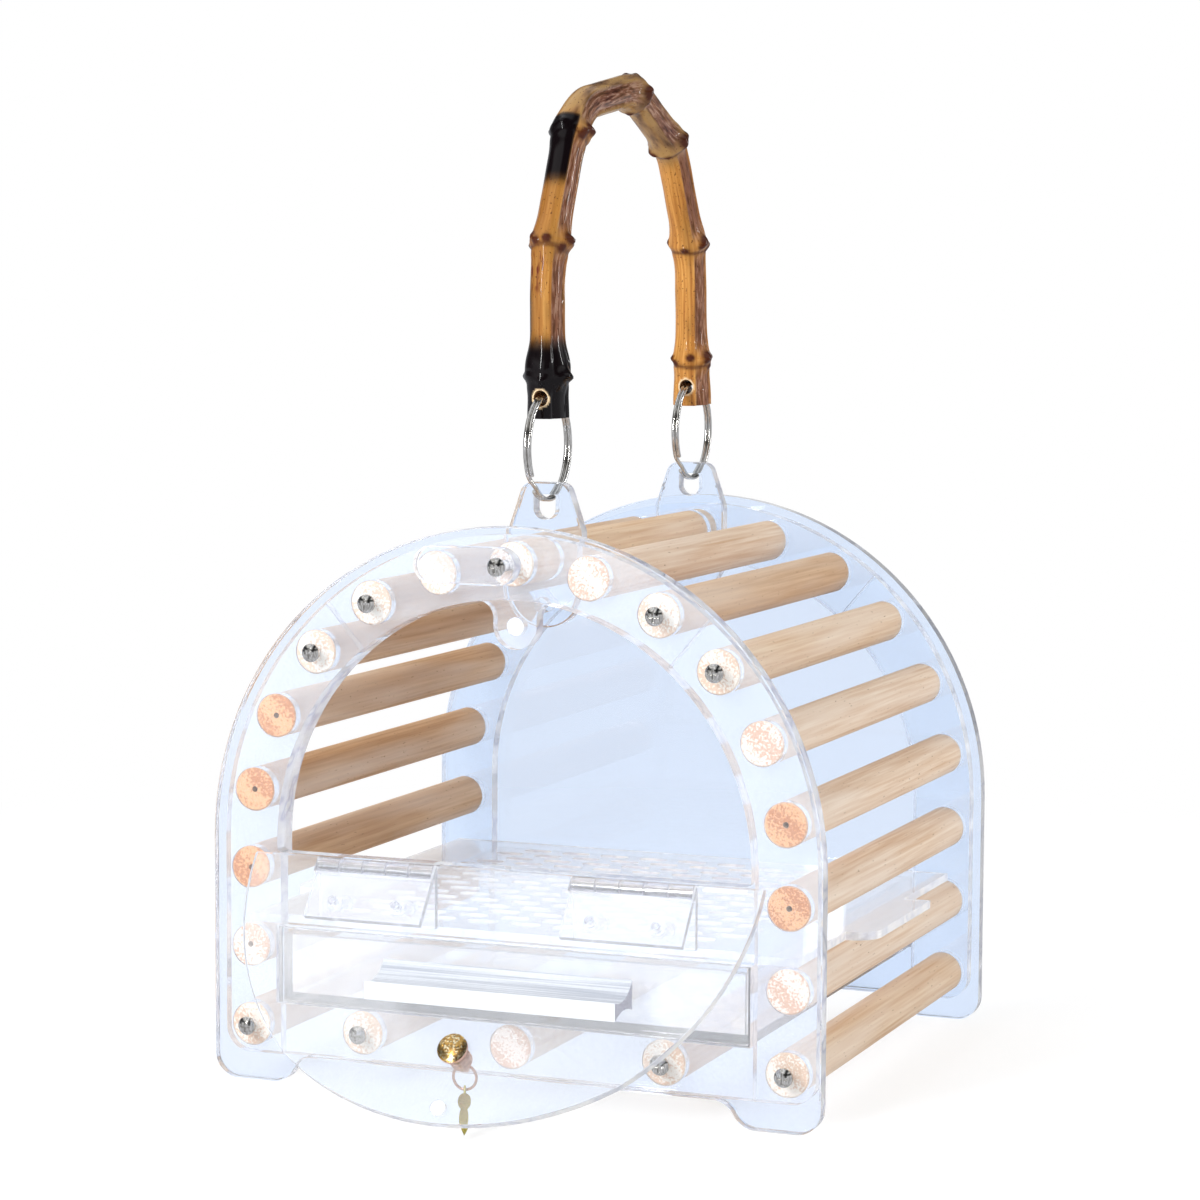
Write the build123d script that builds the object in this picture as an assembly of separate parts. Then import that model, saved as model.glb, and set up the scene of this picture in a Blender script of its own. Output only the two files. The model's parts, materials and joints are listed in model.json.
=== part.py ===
from build123d import *
import math
import os

# Bird travel carrier: two clear arched end plates joined by pine dowels, with a drop-down door,
# a turning latch, a sliding tray under a slotted floor, and a bamboo handle on split rings.
# X runs across the carrier, Y from front to rear, Z up. While it is built, x = 0 is the middle,
# y = 0 the back face of the front plate and z = 0 the ground; the last lines move the origin to
# the middle of the overall footprint, on the ground. All sizes are in millimetres.

# Gaps
SEAT = 0.05                   # glue or seating gap between pieces that are fixed together
SEAM_GAP = 0.2                # visible joint line between ring segments
SLIDE_CLEARANCE = 0.3         # round anything that slides
SOCKET_CLEARANCE = 0.15       # radial, dowel in its socket
SCREW_CLEARANCE = 0.2         # radial, screw in a drilled sheet
SWING_CLEARANCE = 0.4         # between barrels, door and latch as they turn
RUNNING_FIT = 0.06            # radial, pin or screw that something turns on
OVERRUN = 1.0                 # how far a cutter reaches past the face it cuts

# Dowels
DOWEL_DIAMETER = 16.0
DOWEL_SPAN = 197.0            # from the front plate to the rear plate
ARCH_RADIUS = 105.0           # dowel centres round the arch
ARCH_CENTRE_HEIGHT = 90.4
BOTTOM_ROW_HEIGHT = 20.0
DOWELS_PER_SIDE = 8
BOTTOM_DOWEL_PITCH = 59.0
PILOT_DIAMETER = 2.2
PILOT_DEPTH = 12.0
DOWEL_EDGE = 0.5

# End plates and their inner rings
PLATE_THICKNESS = 6.0
RING_THICKNESS = 6.0
PLATE_MARGIN = 13.5           # plate edge outside the dowel centres
RING_INSET = 3.0              # ring edge inside the plate edge
RING_INNER_MARGIN = 12.6      # ring inner edge inside the dowel centres
SEAM_BETWEEN = (5, 6)         # side dowels, counted from 0, with the upper seam between them
FOOT_WIDTH = 24.0
FOOT_RISE = 9.5
FOOT_SLOPE = 16.0
FOOT_CORNER = 9.0
SHEET_EDGE = 0.4              # polished edge of the thick sheet
BAR_LAND = 1.0                # bar left above the bottom sockets
SLOT_ABOVE_FLOOR = 0.6        # drawer slot's top above the underside of the floor
CROSSBAR_HEIGHT = 28.0        # between the drawer slot and the door opening
SILL_CORNER = 2.0

# Catch magnets
TONGUE_RADIUS = 8.4
TONGUE_DROP = 10.0            # magnet centre below the top of the opening
TONGUE_FILLET = 6.0
FRAME_MAGNET_DIAMETER = 6.6
DOOR_MAGNET_DIAMETER = 5.5
MAGNET_THICKNESS = 5.0
DOOR_MAGNET_THICKNESS = 2.6

# Screws
SCREW_HEAD_DIAMETER = 6.8
SCREW_HEAD_HEIGHT = 2.3
SCREW_DOME = 0.65             # domed share of a head's height
SCREW_DIAMETER = 3.4
SCREW_BITE = 14.0             # length in the wood
RECESS_WIDTH = 0.9
RECESS_SPAN = 4.0
RECESS_DEPTH = 1.0

# Latch
LATCH_REACH = 32.5            # pivot to the far end
LATCH_WIDTH = 13.5
LATCH_THICKNESS = 6.0
LATCH_SCREW_DIAMETER = 4.0
SPACER_DIAMETER = 10.0

# Door and its hinges
DOOR_THICKNESS = 3.0
DOOR_OPEN_ANGLE = 143.0       # how far the door hangs open from closed
DOOR_SIDE_LAP = 6.3           # door's side outside the opening
DOOR_CROWN_GAP = 4.0          # door's crown below the top of the opening
DOOR_ARC_DROP = 7.4           # centre of the door's side arcs below the arch's centre
DOOR_SHOULDER_ANGLE = 49.6    # round the side arcs, from level to where the crown starts
DOOR_EDGE_BELOW = 3.0         # straight edge below the hinge axis
DOOR_EDGE_CHAMFER = 1.2
DOOR_SET_BACK = 0.2           # hinge axis behind the door's outer face
HINGE_BELOW_SILL = 3.0        # hinge axis below the sill of the opening
HINGE_STANDOFF = 3.9          # hinge axis in front of the plate
HINGE_WIDTH = 46.0
HINGE_INSET = 48.7            # hinge centre in from the door's side
BARREL_DIAMETER = 6.5
KNUCKLES = 5
KNUCKLE_GAP = 0.3
LEAF_THICKNESS = 2.4
LEAF_LENGTH = 21.0
PIN_DIAMETER = 2.4
HINGE_SCREW_OFFSET = 12.5
HINGE_SCREW_REACH = 14.7
HINGE_SCREW_DIAMETER = 3.0
HINGE_SCREW_HEAD = 6.4
HINGE_SCREW_HEAD_HEIGHT = 1.7

# Door knob, its ring and charm
KNOB_REACH = 68.0             # hinge axis to knob
KNOB_DISC_DIAMETER = 11.0
KNOB_DISC_HEIGHT = 2.4
KNOB_DISC_DOME = 1.2
KNOB_STUD_DIAMETER = 3.0
KNOB_DIAMETER = 8.0
KNOB_LENGTH = 8.0
KNOB_GROOVE = 0.6
KNOB_GROOVES = (2.8, 5.2)     # from the door
KNOB_STUD_ROOM = 1.5          # bore past the end of the stud
EYE_THICKNESS = 2.2
EYE_DIAMETER = 5.2
EYE_HOLE = 2.4
KNOB_RING_DIAMETER = 9.8
KNOB_RING_WIRE = 1.0
CHARM_LEAN = 54.0             # from straight down
CHARM_TURN = 22.0             # about the vertical, from square on
CHARM_LOOP_DIAMETER = 3.8
CHARM_LOOP_WIRE = 0.8
CHARM_SLACK = 0.15            # between the loop and the ring's wire
CHARM_CAP_LENGTH = 7.0
CHARM_CAP_WIDTH = 4.6
CHARM_LEAF_LENGTH = 13.6
CHARM_LEAF_WIDTH = 3.3
CHARM_THICKNESS = 0.8
CHARM_LEAF_START = 4.2        # leaf's stem below the top of the cap

# Drawer and floor
TRAY_WALL = 3.0
FLOOR_GAP = 3.0               # tray's walls below the floor
TRAY_END_GAP = 1.0
DRAWER_SIDE_GAP = 0.9
PULL_LENGTH = 97.0
PULL_HEIGHT = 11.7
PULL_PROJECTION = 16.4
PULL_TOP = 8.5                # pull below the top of the drawer front
PULL_FACE_HEIGHT = 6.6
PULL_BACK_RISE = 1.2          # back's underside above the face's
PULL_TOP_HOLLOW = 3.0         # depth of the hollow along the top
PULL_UNDER_HOLLOW = 1.9
GRATE_THICKNESS = 3.0
GRATE_MARGIN = 2.0            # grate edge outside the side dowel centres
GRATE_TAB_OUT = 12.5          # tab edge outside the side dowel centres
GRATE_TAB_LENGTH = 63.0
GRATE_TAB_BEND = 10.0
GRATE_BORDER = 11.0
SLOT_LENGTH = 12.0
SLOT_WIDTH = 5.0
SLOT_PITCH_X = 17.0
SLOT_PITCH_Y = 10.0

# Ear brackets, split rings and handle
BRACKET_THICKNESS = 6.0
BRACKET_FRONT = 30.0          # middle of the front bracket behind the plate
BRACKET_REAR = 16.0           # middle of the rear bracket in front of the rear plate
BRACKET_HALF_WIDTH = 14.5
BRACKET_TOP_HALF_WIDTH = 8.5
BRACKET_DROP = 25.4           # lowest point below the top dowel's centre
BRACKET_SHOULDER = 10.0       # straight sides end above the top dowel's centre
BRACKET_RISE = 27.6           # top above the top dowel's centre
BRACKET_CORNER = 5.0
EAR_SLOT_WIDTH = 8.8
EAR_SLOT_HEIGHT = 9.3
EAR_WEB = 4.3                 # above the ear slot
HANG_HOLE_DIAMETER = 6.0
HANG_HOLE_DROP = 17.0
SPLIT_RING_DIAMETER = 40.0
SPLIT_RING_WIRE = 1.5
SPLIT_RING_WIDTH = 3.0
SPLIT_RING_GROOVE = 0.25
BAMBOO_DIAMETER = 13.0
BAMBOO_NODE_DIAMETER = 15.4
BAMBOO_FOOT_DIAMETER = 15.9
BAMBOO_FOOT_TAPER = 22.0
FOOT_HOLE_DIAMETER = 5.4
FOOT_HOLE_RISE = 7.6
FRONT_BEND_RISE = 56.0        # rises are above the foot of the handle
FRONT_BEND_BOW = 1.5          # front leg bows out at its bend
FRONT_SHOULDER_RISE = 113.5
FRONT_SHOULDER_INSET = 24.0   # insets are inwards from the nearer foot
CROWN_RISE = 122.5
CROWN_BEHIND_MIDDLE = 4.5
REAR_SHOULDER_RISE = 103.5
REAR_SHOULDER_INSET = 26.5
REAR_BEND_RISE = 62.0
REAR_BEND_INSET = 3.5
LEG_BEND_RADIUS = 60.0
SHOULDER_RADIUS = 30.0
CROWN_RADIUS = 40.0
BAMBOO_NODES = (0.058, 0.193, 0.335, 0.528, 0.66, 0.803, 0.946)   # along the cane

# Worked out from the sizes above
DOWEL_RADIUS = DOWEL_DIAMETER / 2
PLATE_RADIUS = ARCH_RADIUS + PLATE_MARGIN
RING_RADIUS = PLATE_RADIUS - RING_INSET
OPENING_RADIUS = ARCH_RADIUS - RING_INNER_MARGIN
SOCKET_RADIUS = DOWEL_RADIUS + SOCKET_CLEARANCE
BAR_TOP = BOTTOM_ROW_HEIGHT + SOCKET_RADIUS + BAR_LAND
SIDE_SPACING = (ARCH_CENTRE_HEIGHT - BOTTOM_ROW_HEIGHT + ARCH_RADIUS * math.pi / 2) / DOWELS_PER_SIDE
TOP_DOWEL_HEIGHT = ARCH_CENTRE_HEIGHT + ARCH_RADIUS
FLOOR_HEIGHT = BOTTOM_ROW_HEIGHT + SIDE_SPACING + DOWEL_RADIUS
SLOT_TOP = FLOOR_HEIGHT + SLOT_ABOVE_FLOOR
SILL_HEIGHT = SLOT_TOP + CROSSBAR_HEIGHT
OPENING_TOP = ARCH_CENTRE_HEIGHT + OPENING_RADIUS
PLATE_FRONT = -PLATE_THICKNESS
REAR_PLATE_FRONT = DOWEL_SPAN
REAR_PLATE_BACK = DOWEL_SPAN + PLATE_THICKNESS
MAGNET_HEIGHT = OPENING_TOP - TONGUE_DROP
HINGE_Y = PLATE_FRONT - HINGE_STANDOFF
HINGE_HEIGHT = SILL_HEIGHT - HINGE_BELOW_SILL
DOOR_SIDE_RADIUS = OPENING_RADIUS + DOOR_SIDE_LAP
DOOR_SHOULDER = DOOR_SIDE_RADIUS * math.cos(math.radians(DOOR_SHOULDER_ANGLE))
DOOR_ARC_HEIGHT = ARCH_CENTRE_HEIGHT - DOOR_ARC_DROP
DOOR_TOP = OPENING_TOP - DOOR_CROWN_GAP
HINGE_SPACING = 2 * (DOOR_SIDE_RADIUS - HINGE_INSET)
BARREL_RADIUS = BARREL_DIAMETER / 2
DOOR_FRONT = HINGE_Y - DOOR_SET_BACK
DOOR_BACK = DOOR_FRONT + DOOR_THICKNESS
LATCH_BACK = DOOR_FRONT - SWING_CLEARANCE
LATCH_FRONT = LATCH_BACK - LATCH_THICKNESS
BRACKET_MIDDLES = {"front": BRACKET_FRONT, "rear": DOWEL_SPAN - BRACKET_REAR}
HINGE_AXIS = Axis((0, HINGE_Y, HINGE_HEIGHT), (1, 0, 0))
OPEN = math.radians(DOOR_OPEN_ANGLE)
FORWARD = (0, -1, 0)
BACKWARD = (0, 1, 0)

parts = {}


def slab(profile, front, thickness):
    """A sheet cut to a profile drawn in X and Z, its front face at y = front."""
    plane = Plane(origin=(0, front + thickness, 0), x_dir=(1, 0, 0), z_dir=FORWARD)
    return extrude(plane * profile, amount=thickness)


def polished(sheet, size=SHEET_EDGE):
    """The sheet with a small chamfer round the outline of its two faces."""
    faces = sheet.faces().filter_by(Axis.Y)
    edges = [edge for face in faces for edge in face.outer_wire().edges()]
    return chamfer(edges, size)


def rod(start, axis_direction, radius, length):
    """A round rod from a point along a direction."""
    return Plane(origin=start, z_dir=axis_direction) * Cylinder(
        radius, length, align=(Align.CENTER, Align.CENTER, Align.MIN)
    )


def block(x_range, y_range, z_range):
    """A box between two values on each axis."""
    sizes = [high - low for low, high in (x_range, y_range, z_range)]
    middle = [(high + low) / 2 for low, high in (x_range, y_range, z_range)]
    return Pos(*middle) * Box(*sizes)


def domed_disc(radius, height, dome):
    """A disc on z = 0 whose top rises by the dome from its rim to its middle."""
    ball = (radius**2 + dome**2) / (2 * dome)
    return (Pos(0, 0, height / 2) * Cylinder(radius, height)) & (Pos(0, 0, height - ball) * Sphere(ball))


def screw(seat_point, outward, head, head_height, shank, length):
    """A pan-head screw with a cross recess, seated at a point with its head outward."""
    depth = 2 * RECESS_DEPTH
    cross = Box(RECESS_SPAN, RECESS_WIDTH, depth) + Box(RECESS_WIDTH, RECESS_SPAN, depth)
    solid = domed_disc(head / 2, head_height, SCREW_DOME * head_height) - Pos(0, 0, head_height) * cross
    solid += Pos(0, 0, -length / 2) * Cylinder(shank / 2, length)
    return Plane(origin=seat_point, z_dir=outward) * solid


def side_point(index):
    """Place in X and Z of a side dowel on the right, counted from the bottom."""
    along = index * SIDE_SPACING
    straight = ARCH_CENTRE_HEIGHT - BOTTOM_ROW_HEIGHT
    if along <= straight:
        return (ARCH_RADIUS, BOTTOM_ROW_HEIGHT + along)
    angle = (along - straight) / ARCH_RADIUS
    return (ARCH_RADIUS * math.cos(angle), ARCH_CENTRE_HEIGHT + ARCH_RADIUS * math.sin(angle))


def dowel_places():
    """Name and place of every dowel, and what its front end shows: a screw, a pilot hole or bare wood."""
    screwed = {"left": (0, 5, 6), "right": (0, 5, 6), "bottom": (0, 2)}
    drilled = {"left": (1, 2, 3, 4), "right": (2, 3), "bottom": ()}
    places = []
    for side, sign in (("left", -1), ("right", 1)):
        for index in range(DOWELS_PER_SIDE):
            x, z = side_point(index)
            places.append((side, index, sign * x, z))
    for index in range(3):
        places.append(("bottom", index, (index - 1) * BOTTOM_DOWEL_PITCH, BOTTOM_ROW_HEIGHT))
    rows = []
    for side, index, x, z in places:
        end = "screw" if index in screwed[side] else "pilot" if index in drilled[side] else "plain"
        rows.append((f"dowel_{side}_{index + 1}", x, z, end))
    rows.append(("dowel_top", 0, TOP_DOWEL_HEIGHT, "latch"))
    return rows


DOWELS = dowel_places()
SCREW_PLACES = [(x, z) for name, x, z, end in DOWELS if end == "screw"]


def circles(places, radius):
    """One disc at each place in X and Z."""
    return Sketch() + [Pos(x, z) * Circle(radius) for x, z in places]


def arch_profile(radius, bottom):
    """A disc standing on straight sides, cut off level at the bottom."""
    centre = ARCH_CENTRE_HEIGHT
    whole = Pos(0, centre) * Circle(radius) + Pos(0, centre / 2) * Rectangle(2 * radius, centre)
    top = centre + radius
    return whole & Pos(0, (bottom + top) / 2) * Rectangle(2 * radius, top - bottom)


def end_plate_profile():
    """Arched outline with two feet, and a shallow curved cut-out between them."""
    edge = PLATE_RADIUS
    heel = edge - FOOT_WIDTH
    middle = heel - FOOT_SLOPE / 2
    toe = heel - FOOT_SLOPE
    half = [
        Line((0, FOOT_RISE), (toe, FOOT_RISE)),
        TangentArc((toe, FOOT_RISE), (middle, FOOT_RISE / 2), tangent=(1, 0)),
        TangentArc((heel, 0), (middle, FOOT_RISE / 2), tangent=(-1, 0)),
        Line((heel, 0), (edge - FOOT_CORNER, 0)),
        TangentArc((edge - FOOT_CORNER, 0), (edge, FOOT_CORNER), tangent=(1, 0)),
        Line((edge, FOOT_CORNER), (edge, ARCH_CENTRE_HEIGHT)),
        TangentArc((edge, ARCH_CENTRE_HEIGHT), (0, ARCH_CENTRE_HEIGHT + edge), tangent=(0, 1)),
    ]
    other_half = [mirror(piece, about=Plane.YZ) for piece in half]
    return make_face(half + other_half)


def make_end_plates():
    """Front plate with its door opening and drawer slot, and the closed rear plate."""
    outline = end_plate_profile()
    opening = arch_profile(OPENING_RADIUS, SILL_HEIGHT)
    opening = offset(offset(opening, -SILL_CORNER), SILL_CORNER, kind=Kind.ARC)
    slot_middle = (BAR_TOP + SLOT_TOP) / 2
    slot = Pos(0, slot_middle) * Rectangle(2 * OPENING_RADIUS, SLOT_TOP - BAR_TOP)
    holes = circles(SCREW_PLACES, SCREW_DIAMETER / 2 + SCREW_CLEARANCE)
    latch_hole = circles([(0, TOP_DOWEL_HEIGHT)], LATCH_SCREW_DIAMETER / 2 + SCREW_CLEARANCE)
    hinge_holes = circles(frame_screw_places(), HINGE_SCREW_DIAMETER / 2 + SCREW_CLEARANCE)
    front = polished(slab(outline - opening - slot, PLATE_FRONT, PLATE_THICKNESS))
    front -= slab(holes + latch_hole + hinge_holes, PLATE_FRONT, PLATE_THICKNESS)
    rear = polished(slab(outline, REAR_PLATE_FRONT, PLATE_THICKNESS))
    rear -= slab(holes, REAR_PLATE_FRONT, PLATE_THICKNESS)
    parts["front_plate"] = front
    parts["rear_plate"] = rear


def ring_segments(with_tongue):
    """The ring behind an end plate, cut into top, left, right and bottom segments."""
    outline = arch_profile(RING_RADIUS, FOOT_RISE)
    outline = fillet(outline.vertices().sort_by(Axis.Y)[:2], FOOT_CORNER)
    ring = outline - arch_profile(OPENING_RADIUS, BAR_TOP)
    if with_tongue:
        reach = OPENING_TOP - MAGNET_HEIGHT + RING_INNER_MARGIN / 2
        stem = Pos(0, MAGNET_HEIGHT + reach / 2) * Rectangle(2 * TONGUE_RADIUS, reach)
        ring += stem + Pos(0, MAGNET_HEIGHT) * Circle(TONGUE_RADIUS)
        root_height = ARCH_CENTRE_HEIGHT + math.sqrt(OPENING_RADIUS**2 - TONGUE_RADIUS**2)
        roots = [
            vertex for vertex in ring.vertices()
            if abs(abs(vertex.X) - TONGUE_RADIUS) < SEAT and abs(vertex.Y - root_height) < SEAT
        ]
        ring = fillet(roots, TONGUE_FILLET)
        ring -= Pos(0, MAGNET_HEIGHT) * Circle(FRAME_MAGNET_DIAMETER / 2 + SEAT)
    ring -= circles([(x, z) for name, x, z, end in DOWELS], SOCKET_RADIUS)
    lower, upper = (side_point(index) for index in SEAM_BETWEEN)
    seam_angle = math.degrees(
        math.atan2((lower[1] + upper[1]) / 2 - ARCH_CENTRE_HEIGHT, (lower[0] + upper[0]) / 2)
    )
    for angle in (seam_angle, 180 - seam_angle):
        seam = Pos(0, ARCH_CENTRE_HEIGHT) * Rot(0, 0, angle) * Pos(RING_RADIUS, 0)
        ring -= seam * Rectangle(4 * RING_INSET + 2 * (RING_RADIUS - OPENING_RADIUS), SEAM_GAP)
    for sign in (-1, 1):
        seam_x = sign * (OPENING_RADIUS - SEAM_GAP / 2)
        ring -= Pos(seam_x, BAR_TOP / 2) * Rectangle(SEAM_GAP, BAR_TOP + SEAM_GAP)
    faces = ring.faces()
    across = faces.sort_by(lambda face: face.center().X)
    upward = faces.sort_by(lambda face: face.center().Y)
    return {"top": upward[-1], "left": across[0], "right": across[-1], "bottom": upward[0]}


def make_rings():
    """Ring segments glued to the inner faces of both end plates."""
    rear_front = DOWEL_SPAN - RING_THICKNESS
    for end, front, tongue in (("front", SEAT, True), ("rear", rear_front - SEAT, False)):
        for place, face in ring_segments(tongue).items():
            parts[f"{end}_ring_{place}"] = slab(Sketch() + face, front, RING_THICKNESS)


def make_dowels():
    """Pine dowels between the end plates, drilled where a screw or the latch screw goes in."""
    bore = {"screw": SCREW_DIAMETER / 2, "latch": LATCH_SCREW_DIAMETER / 2, "pilot": PILOT_DIAMETER / 2}
    for name, x, z, end in DOWELS:
        length = DOWEL_SPAN - 2 * SEAT
        dowel = rod((x, SEAT, z), BACKWARD, DOWEL_RADIUS, length)
        dowel = chamfer(dowel.edges().filter_by(GeomType.CIRCLE), DOWEL_EDGE)
        if end in bore:
            depth = PILOT_DEPTH if end == "pilot" else SCREW_BITE + DOWEL_EDGE
            dowel -= rod((x, 0, z), BACKWARD, bore[end], depth)
        if end == "screw":
            dowel -= rod((x, DOWEL_SPAN, z), FORWARD, bore[end], SCREW_BITE + DOWEL_EDGE)
        parts[name] = dowel


def make_plate_screws():
    """Screws through the end plates into the dowels."""
    length = PLATE_THICKNESS + SCREW_BITE
    for end, y, outward in (
        ("front", PLATE_FRONT - SEAT, FORWARD),
        ("rear", REAR_PLATE_BACK + SEAT, BACKWARD),
    ):
        solids = [
            screw((x, y, z), outward, SCREW_HEAD_DIAMETER, SCREW_HEAD_HEIGHT, SCREW_DIAMETER, length)
            for x, z in SCREW_PLACES
        ]
        parts[f"{end}_screws"] = Compound(solids)


def make_latch():
    """Round-ended turning bar, the spacer behind it and the screw it turns on."""
    centre = (LATCH_REACH - LATCH_WIDTH / 2) / 2
    outline = Pos(-centre, TOP_DOWEL_HEIGHT) * SlotOverall(LATCH_REACH + LATCH_WIDTH / 2, LATCH_WIDTH)
    bore = LATCH_SCREW_DIAMETER / 2 + RUNNING_FIT
    bar = polished(slab(outline, LATCH_FRONT, LATCH_THICKNESS))
    parts["latch_bar"] = bar - rod((0, 0, TOP_DOWEL_HEIGHT), FORWARD, bore, -LATCH_FRONT + SEAT)
    spacer_length = PLATE_FRONT - LATCH_BACK - 2 * SEAT
    spacer = rod((0, PLATE_FRONT - SEAT, TOP_DOWEL_HEIGHT), FORWARD, SPACER_DIAMETER / 2, spacer_length)
    parts["latch_spacer"] = spacer - rod(
        (0, PLATE_FRONT, TOP_DOWEL_HEIGHT), FORWARD, LATCH_SCREW_DIAMETER / 2 + SEAT, spacer_length + OVERRUN
    )
    parts["latch_screw"] = screw(
        (0, LATCH_FRONT - SEAT, TOP_DOWEL_HEIGHT), FORWARD, SCREW_HEAD_DIAMETER, SCREW_HEAD_HEIGHT,
        LATCH_SCREW_DIAMETER, SCREW_BITE - LATCH_FRONT,
    )


def make_magnets():
    """Catch magnets in the tongue and in the door."""
    front = (RING_THICKNESS - MAGNET_THICKNESS) / 2 + SEAT
    parts["frame_magnet"] = rod(
        (0, front, MAGNET_HEIGHT), BACKWARD, FRAME_MAGNET_DIAMETER / 2, MAGNET_THICKNESS
    )
    gap = (DOOR_THICKNESS - DOOR_MAGNET_THICKNESS) / 2
    magnet = rod(
        (0, DOOR_FRONT + gap, MAGNET_HEIGHT), BACKWARD, DOOR_MAGNET_DIAMETER / 2, DOOR_MAGNET_THICKNESS
    )
    parts["door_magnet"] = opened(magnet)


def opened(shape):
    """A piece drawn on the closed door, turned to where the open door hangs."""
    return shape.rotate(HINGE_AXIS, DOOR_OPEN_ANGLE)


def opened_point(forward, up):
    """Place in Y and Z, with the door open, of a point that is forward of and above the closed hinge."""
    y = -forward * math.cos(OPEN) - up * math.sin(OPEN)
    z = -forward * math.sin(OPEN) + up * math.cos(OPEN)
    return (HINGE_Y + y, HINGE_HEIGHT + z)


def hinge_centres():
    return (("left", -HINGE_SPACING / 2), ("right", HINGE_SPACING / 2))


def hinge_screw_xs():
    """Across the carrier, where the hinge screws are."""
    offsets = (-HINGE_SCREW_OFFSET, HINGE_SCREW_OFFSET)
    return [centre + offset for side, centre in hinge_centres() for offset in offsets]


def frame_screw_places():
    return [(x, HINGE_HEIGHT - HINGE_SCREW_REACH) for x in hinge_screw_xs()]


def door_screw_places():
    return [(x, HINGE_HEIGHT + HINGE_SCREW_REACH) for x in hinge_screw_xs()]


def barrel(start, length, radius):
    """A length of a hinge barrel along X, on the hinge axis."""
    return rod((start, HINGE_Y, HINGE_HEIGHT), (1, 0, 0), radius, length)


def hinge_leaf(centre, moving):
    """One leaf of a butt hinge, with its share of the knuckles, in the closed position."""
    start = centre - HINGE_WIDTH / 2
    width = HINGE_WIDTH / KNUCKLES
    sides = (start, start + HINGE_WIDTH)
    if moving:
        back = DOOR_FRONT - SEAT
        leaf = block(sides, (back - LEAF_THICKNESS, back), (HINGE_HEIGHT, HINGE_HEIGHT + LEAF_LENGTH))
        screw_places = door_screw_places()
    else:
        back = PLATE_FRONT - SEAT
        leaf = block(sides, (back - LEAF_THICKNESS, back), (HINGE_HEIGHT - LEAF_LENGTH, HINGE_HEIGHT))
        screw_places = frame_screw_places()
    own = [index for index in range(KNUCKLES) if (index % 2 == 1) == moving]
    for index in range(KNUCKLES):
        if index not in own:
            left = start + index * width - KNUCKLE_GAP / 2
            leaf -= barrel(left, width + KNUCKLE_GAP, BARREL_RADIUS + SWING_CLEARANCE)
    for index in own:
        trim_left = 0 if index == 0 else KNUCKLE_GAP / 2
        trim_right = 0 if index == KNUCKLES - 1 else KNUCKLE_GAP / 2
        leaf += barrel(start + index * width + trim_left, width - trim_left - trim_right, BARREL_RADIUS)
    leaf -= barrel(start - OVERRUN, HINGE_WIDTH + 2 * OVERRUN, PIN_DIAMETER / 2 + RUNNING_FIT)
    bore = HINGE_SCREW_DIAMETER / 2 + SCREW_CLEARANCE
    for x, z in screw_places:
        if abs(x - centre) < HINGE_WIDTH / 2:
            leaf -= rod((x, back + OVERRUN, z), FORWARD, bore, LEAF_THICKNESS + 2 * OVERRUN)
    return leaf


def make_hinges():
    """Two clear butt hinges: fixed leaves on the crossbar, moving leaves on the door."""
    for side, centre in hinge_centres():
        parts[f"hinge_{side}_fixed"] = hinge_leaf(centre, False)
        parts[f"hinge_{side}_moving"] = opened(hinge_leaf(centre, True))
    pins = [
        barrel(centre - HINGE_WIDTH / 2, HINGE_WIDTH, PIN_DIAMETER / 2)
        for side, centre in hinge_centres()
    ]
    parts["hinge_pins"] = Compound(pins)
    sizes = (HINGE_SCREW_HEAD, HINGE_SCREW_HEAD_HEIGHT, HINGE_SCREW_DIAMETER)
    frame_seat = PLATE_FRONT - LEAF_THICKNESS - 2 * SEAT
    frame_screws = [
        screw((x, frame_seat, z), FORWARD, *sizes, LEAF_THICKNESS + PLATE_THICKNESS)
        for x, z in frame_screw_places()
    ]
    door_seat = DOOR_FRONT - LEAF_THICKNESS - 2 * SEAT
    door_screws = [
        opened(screw((x, door_seat, z), FORWARD, *sizes, LEAF_THICKNESS + DOOR_THICKNESS))
        for x, z in door_screw_places()
    ]
    parts["hinge_screws_frame"] = Compound(frame_screws)
    parts["hinge_screws_door"] = Compound(door_screws)


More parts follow.
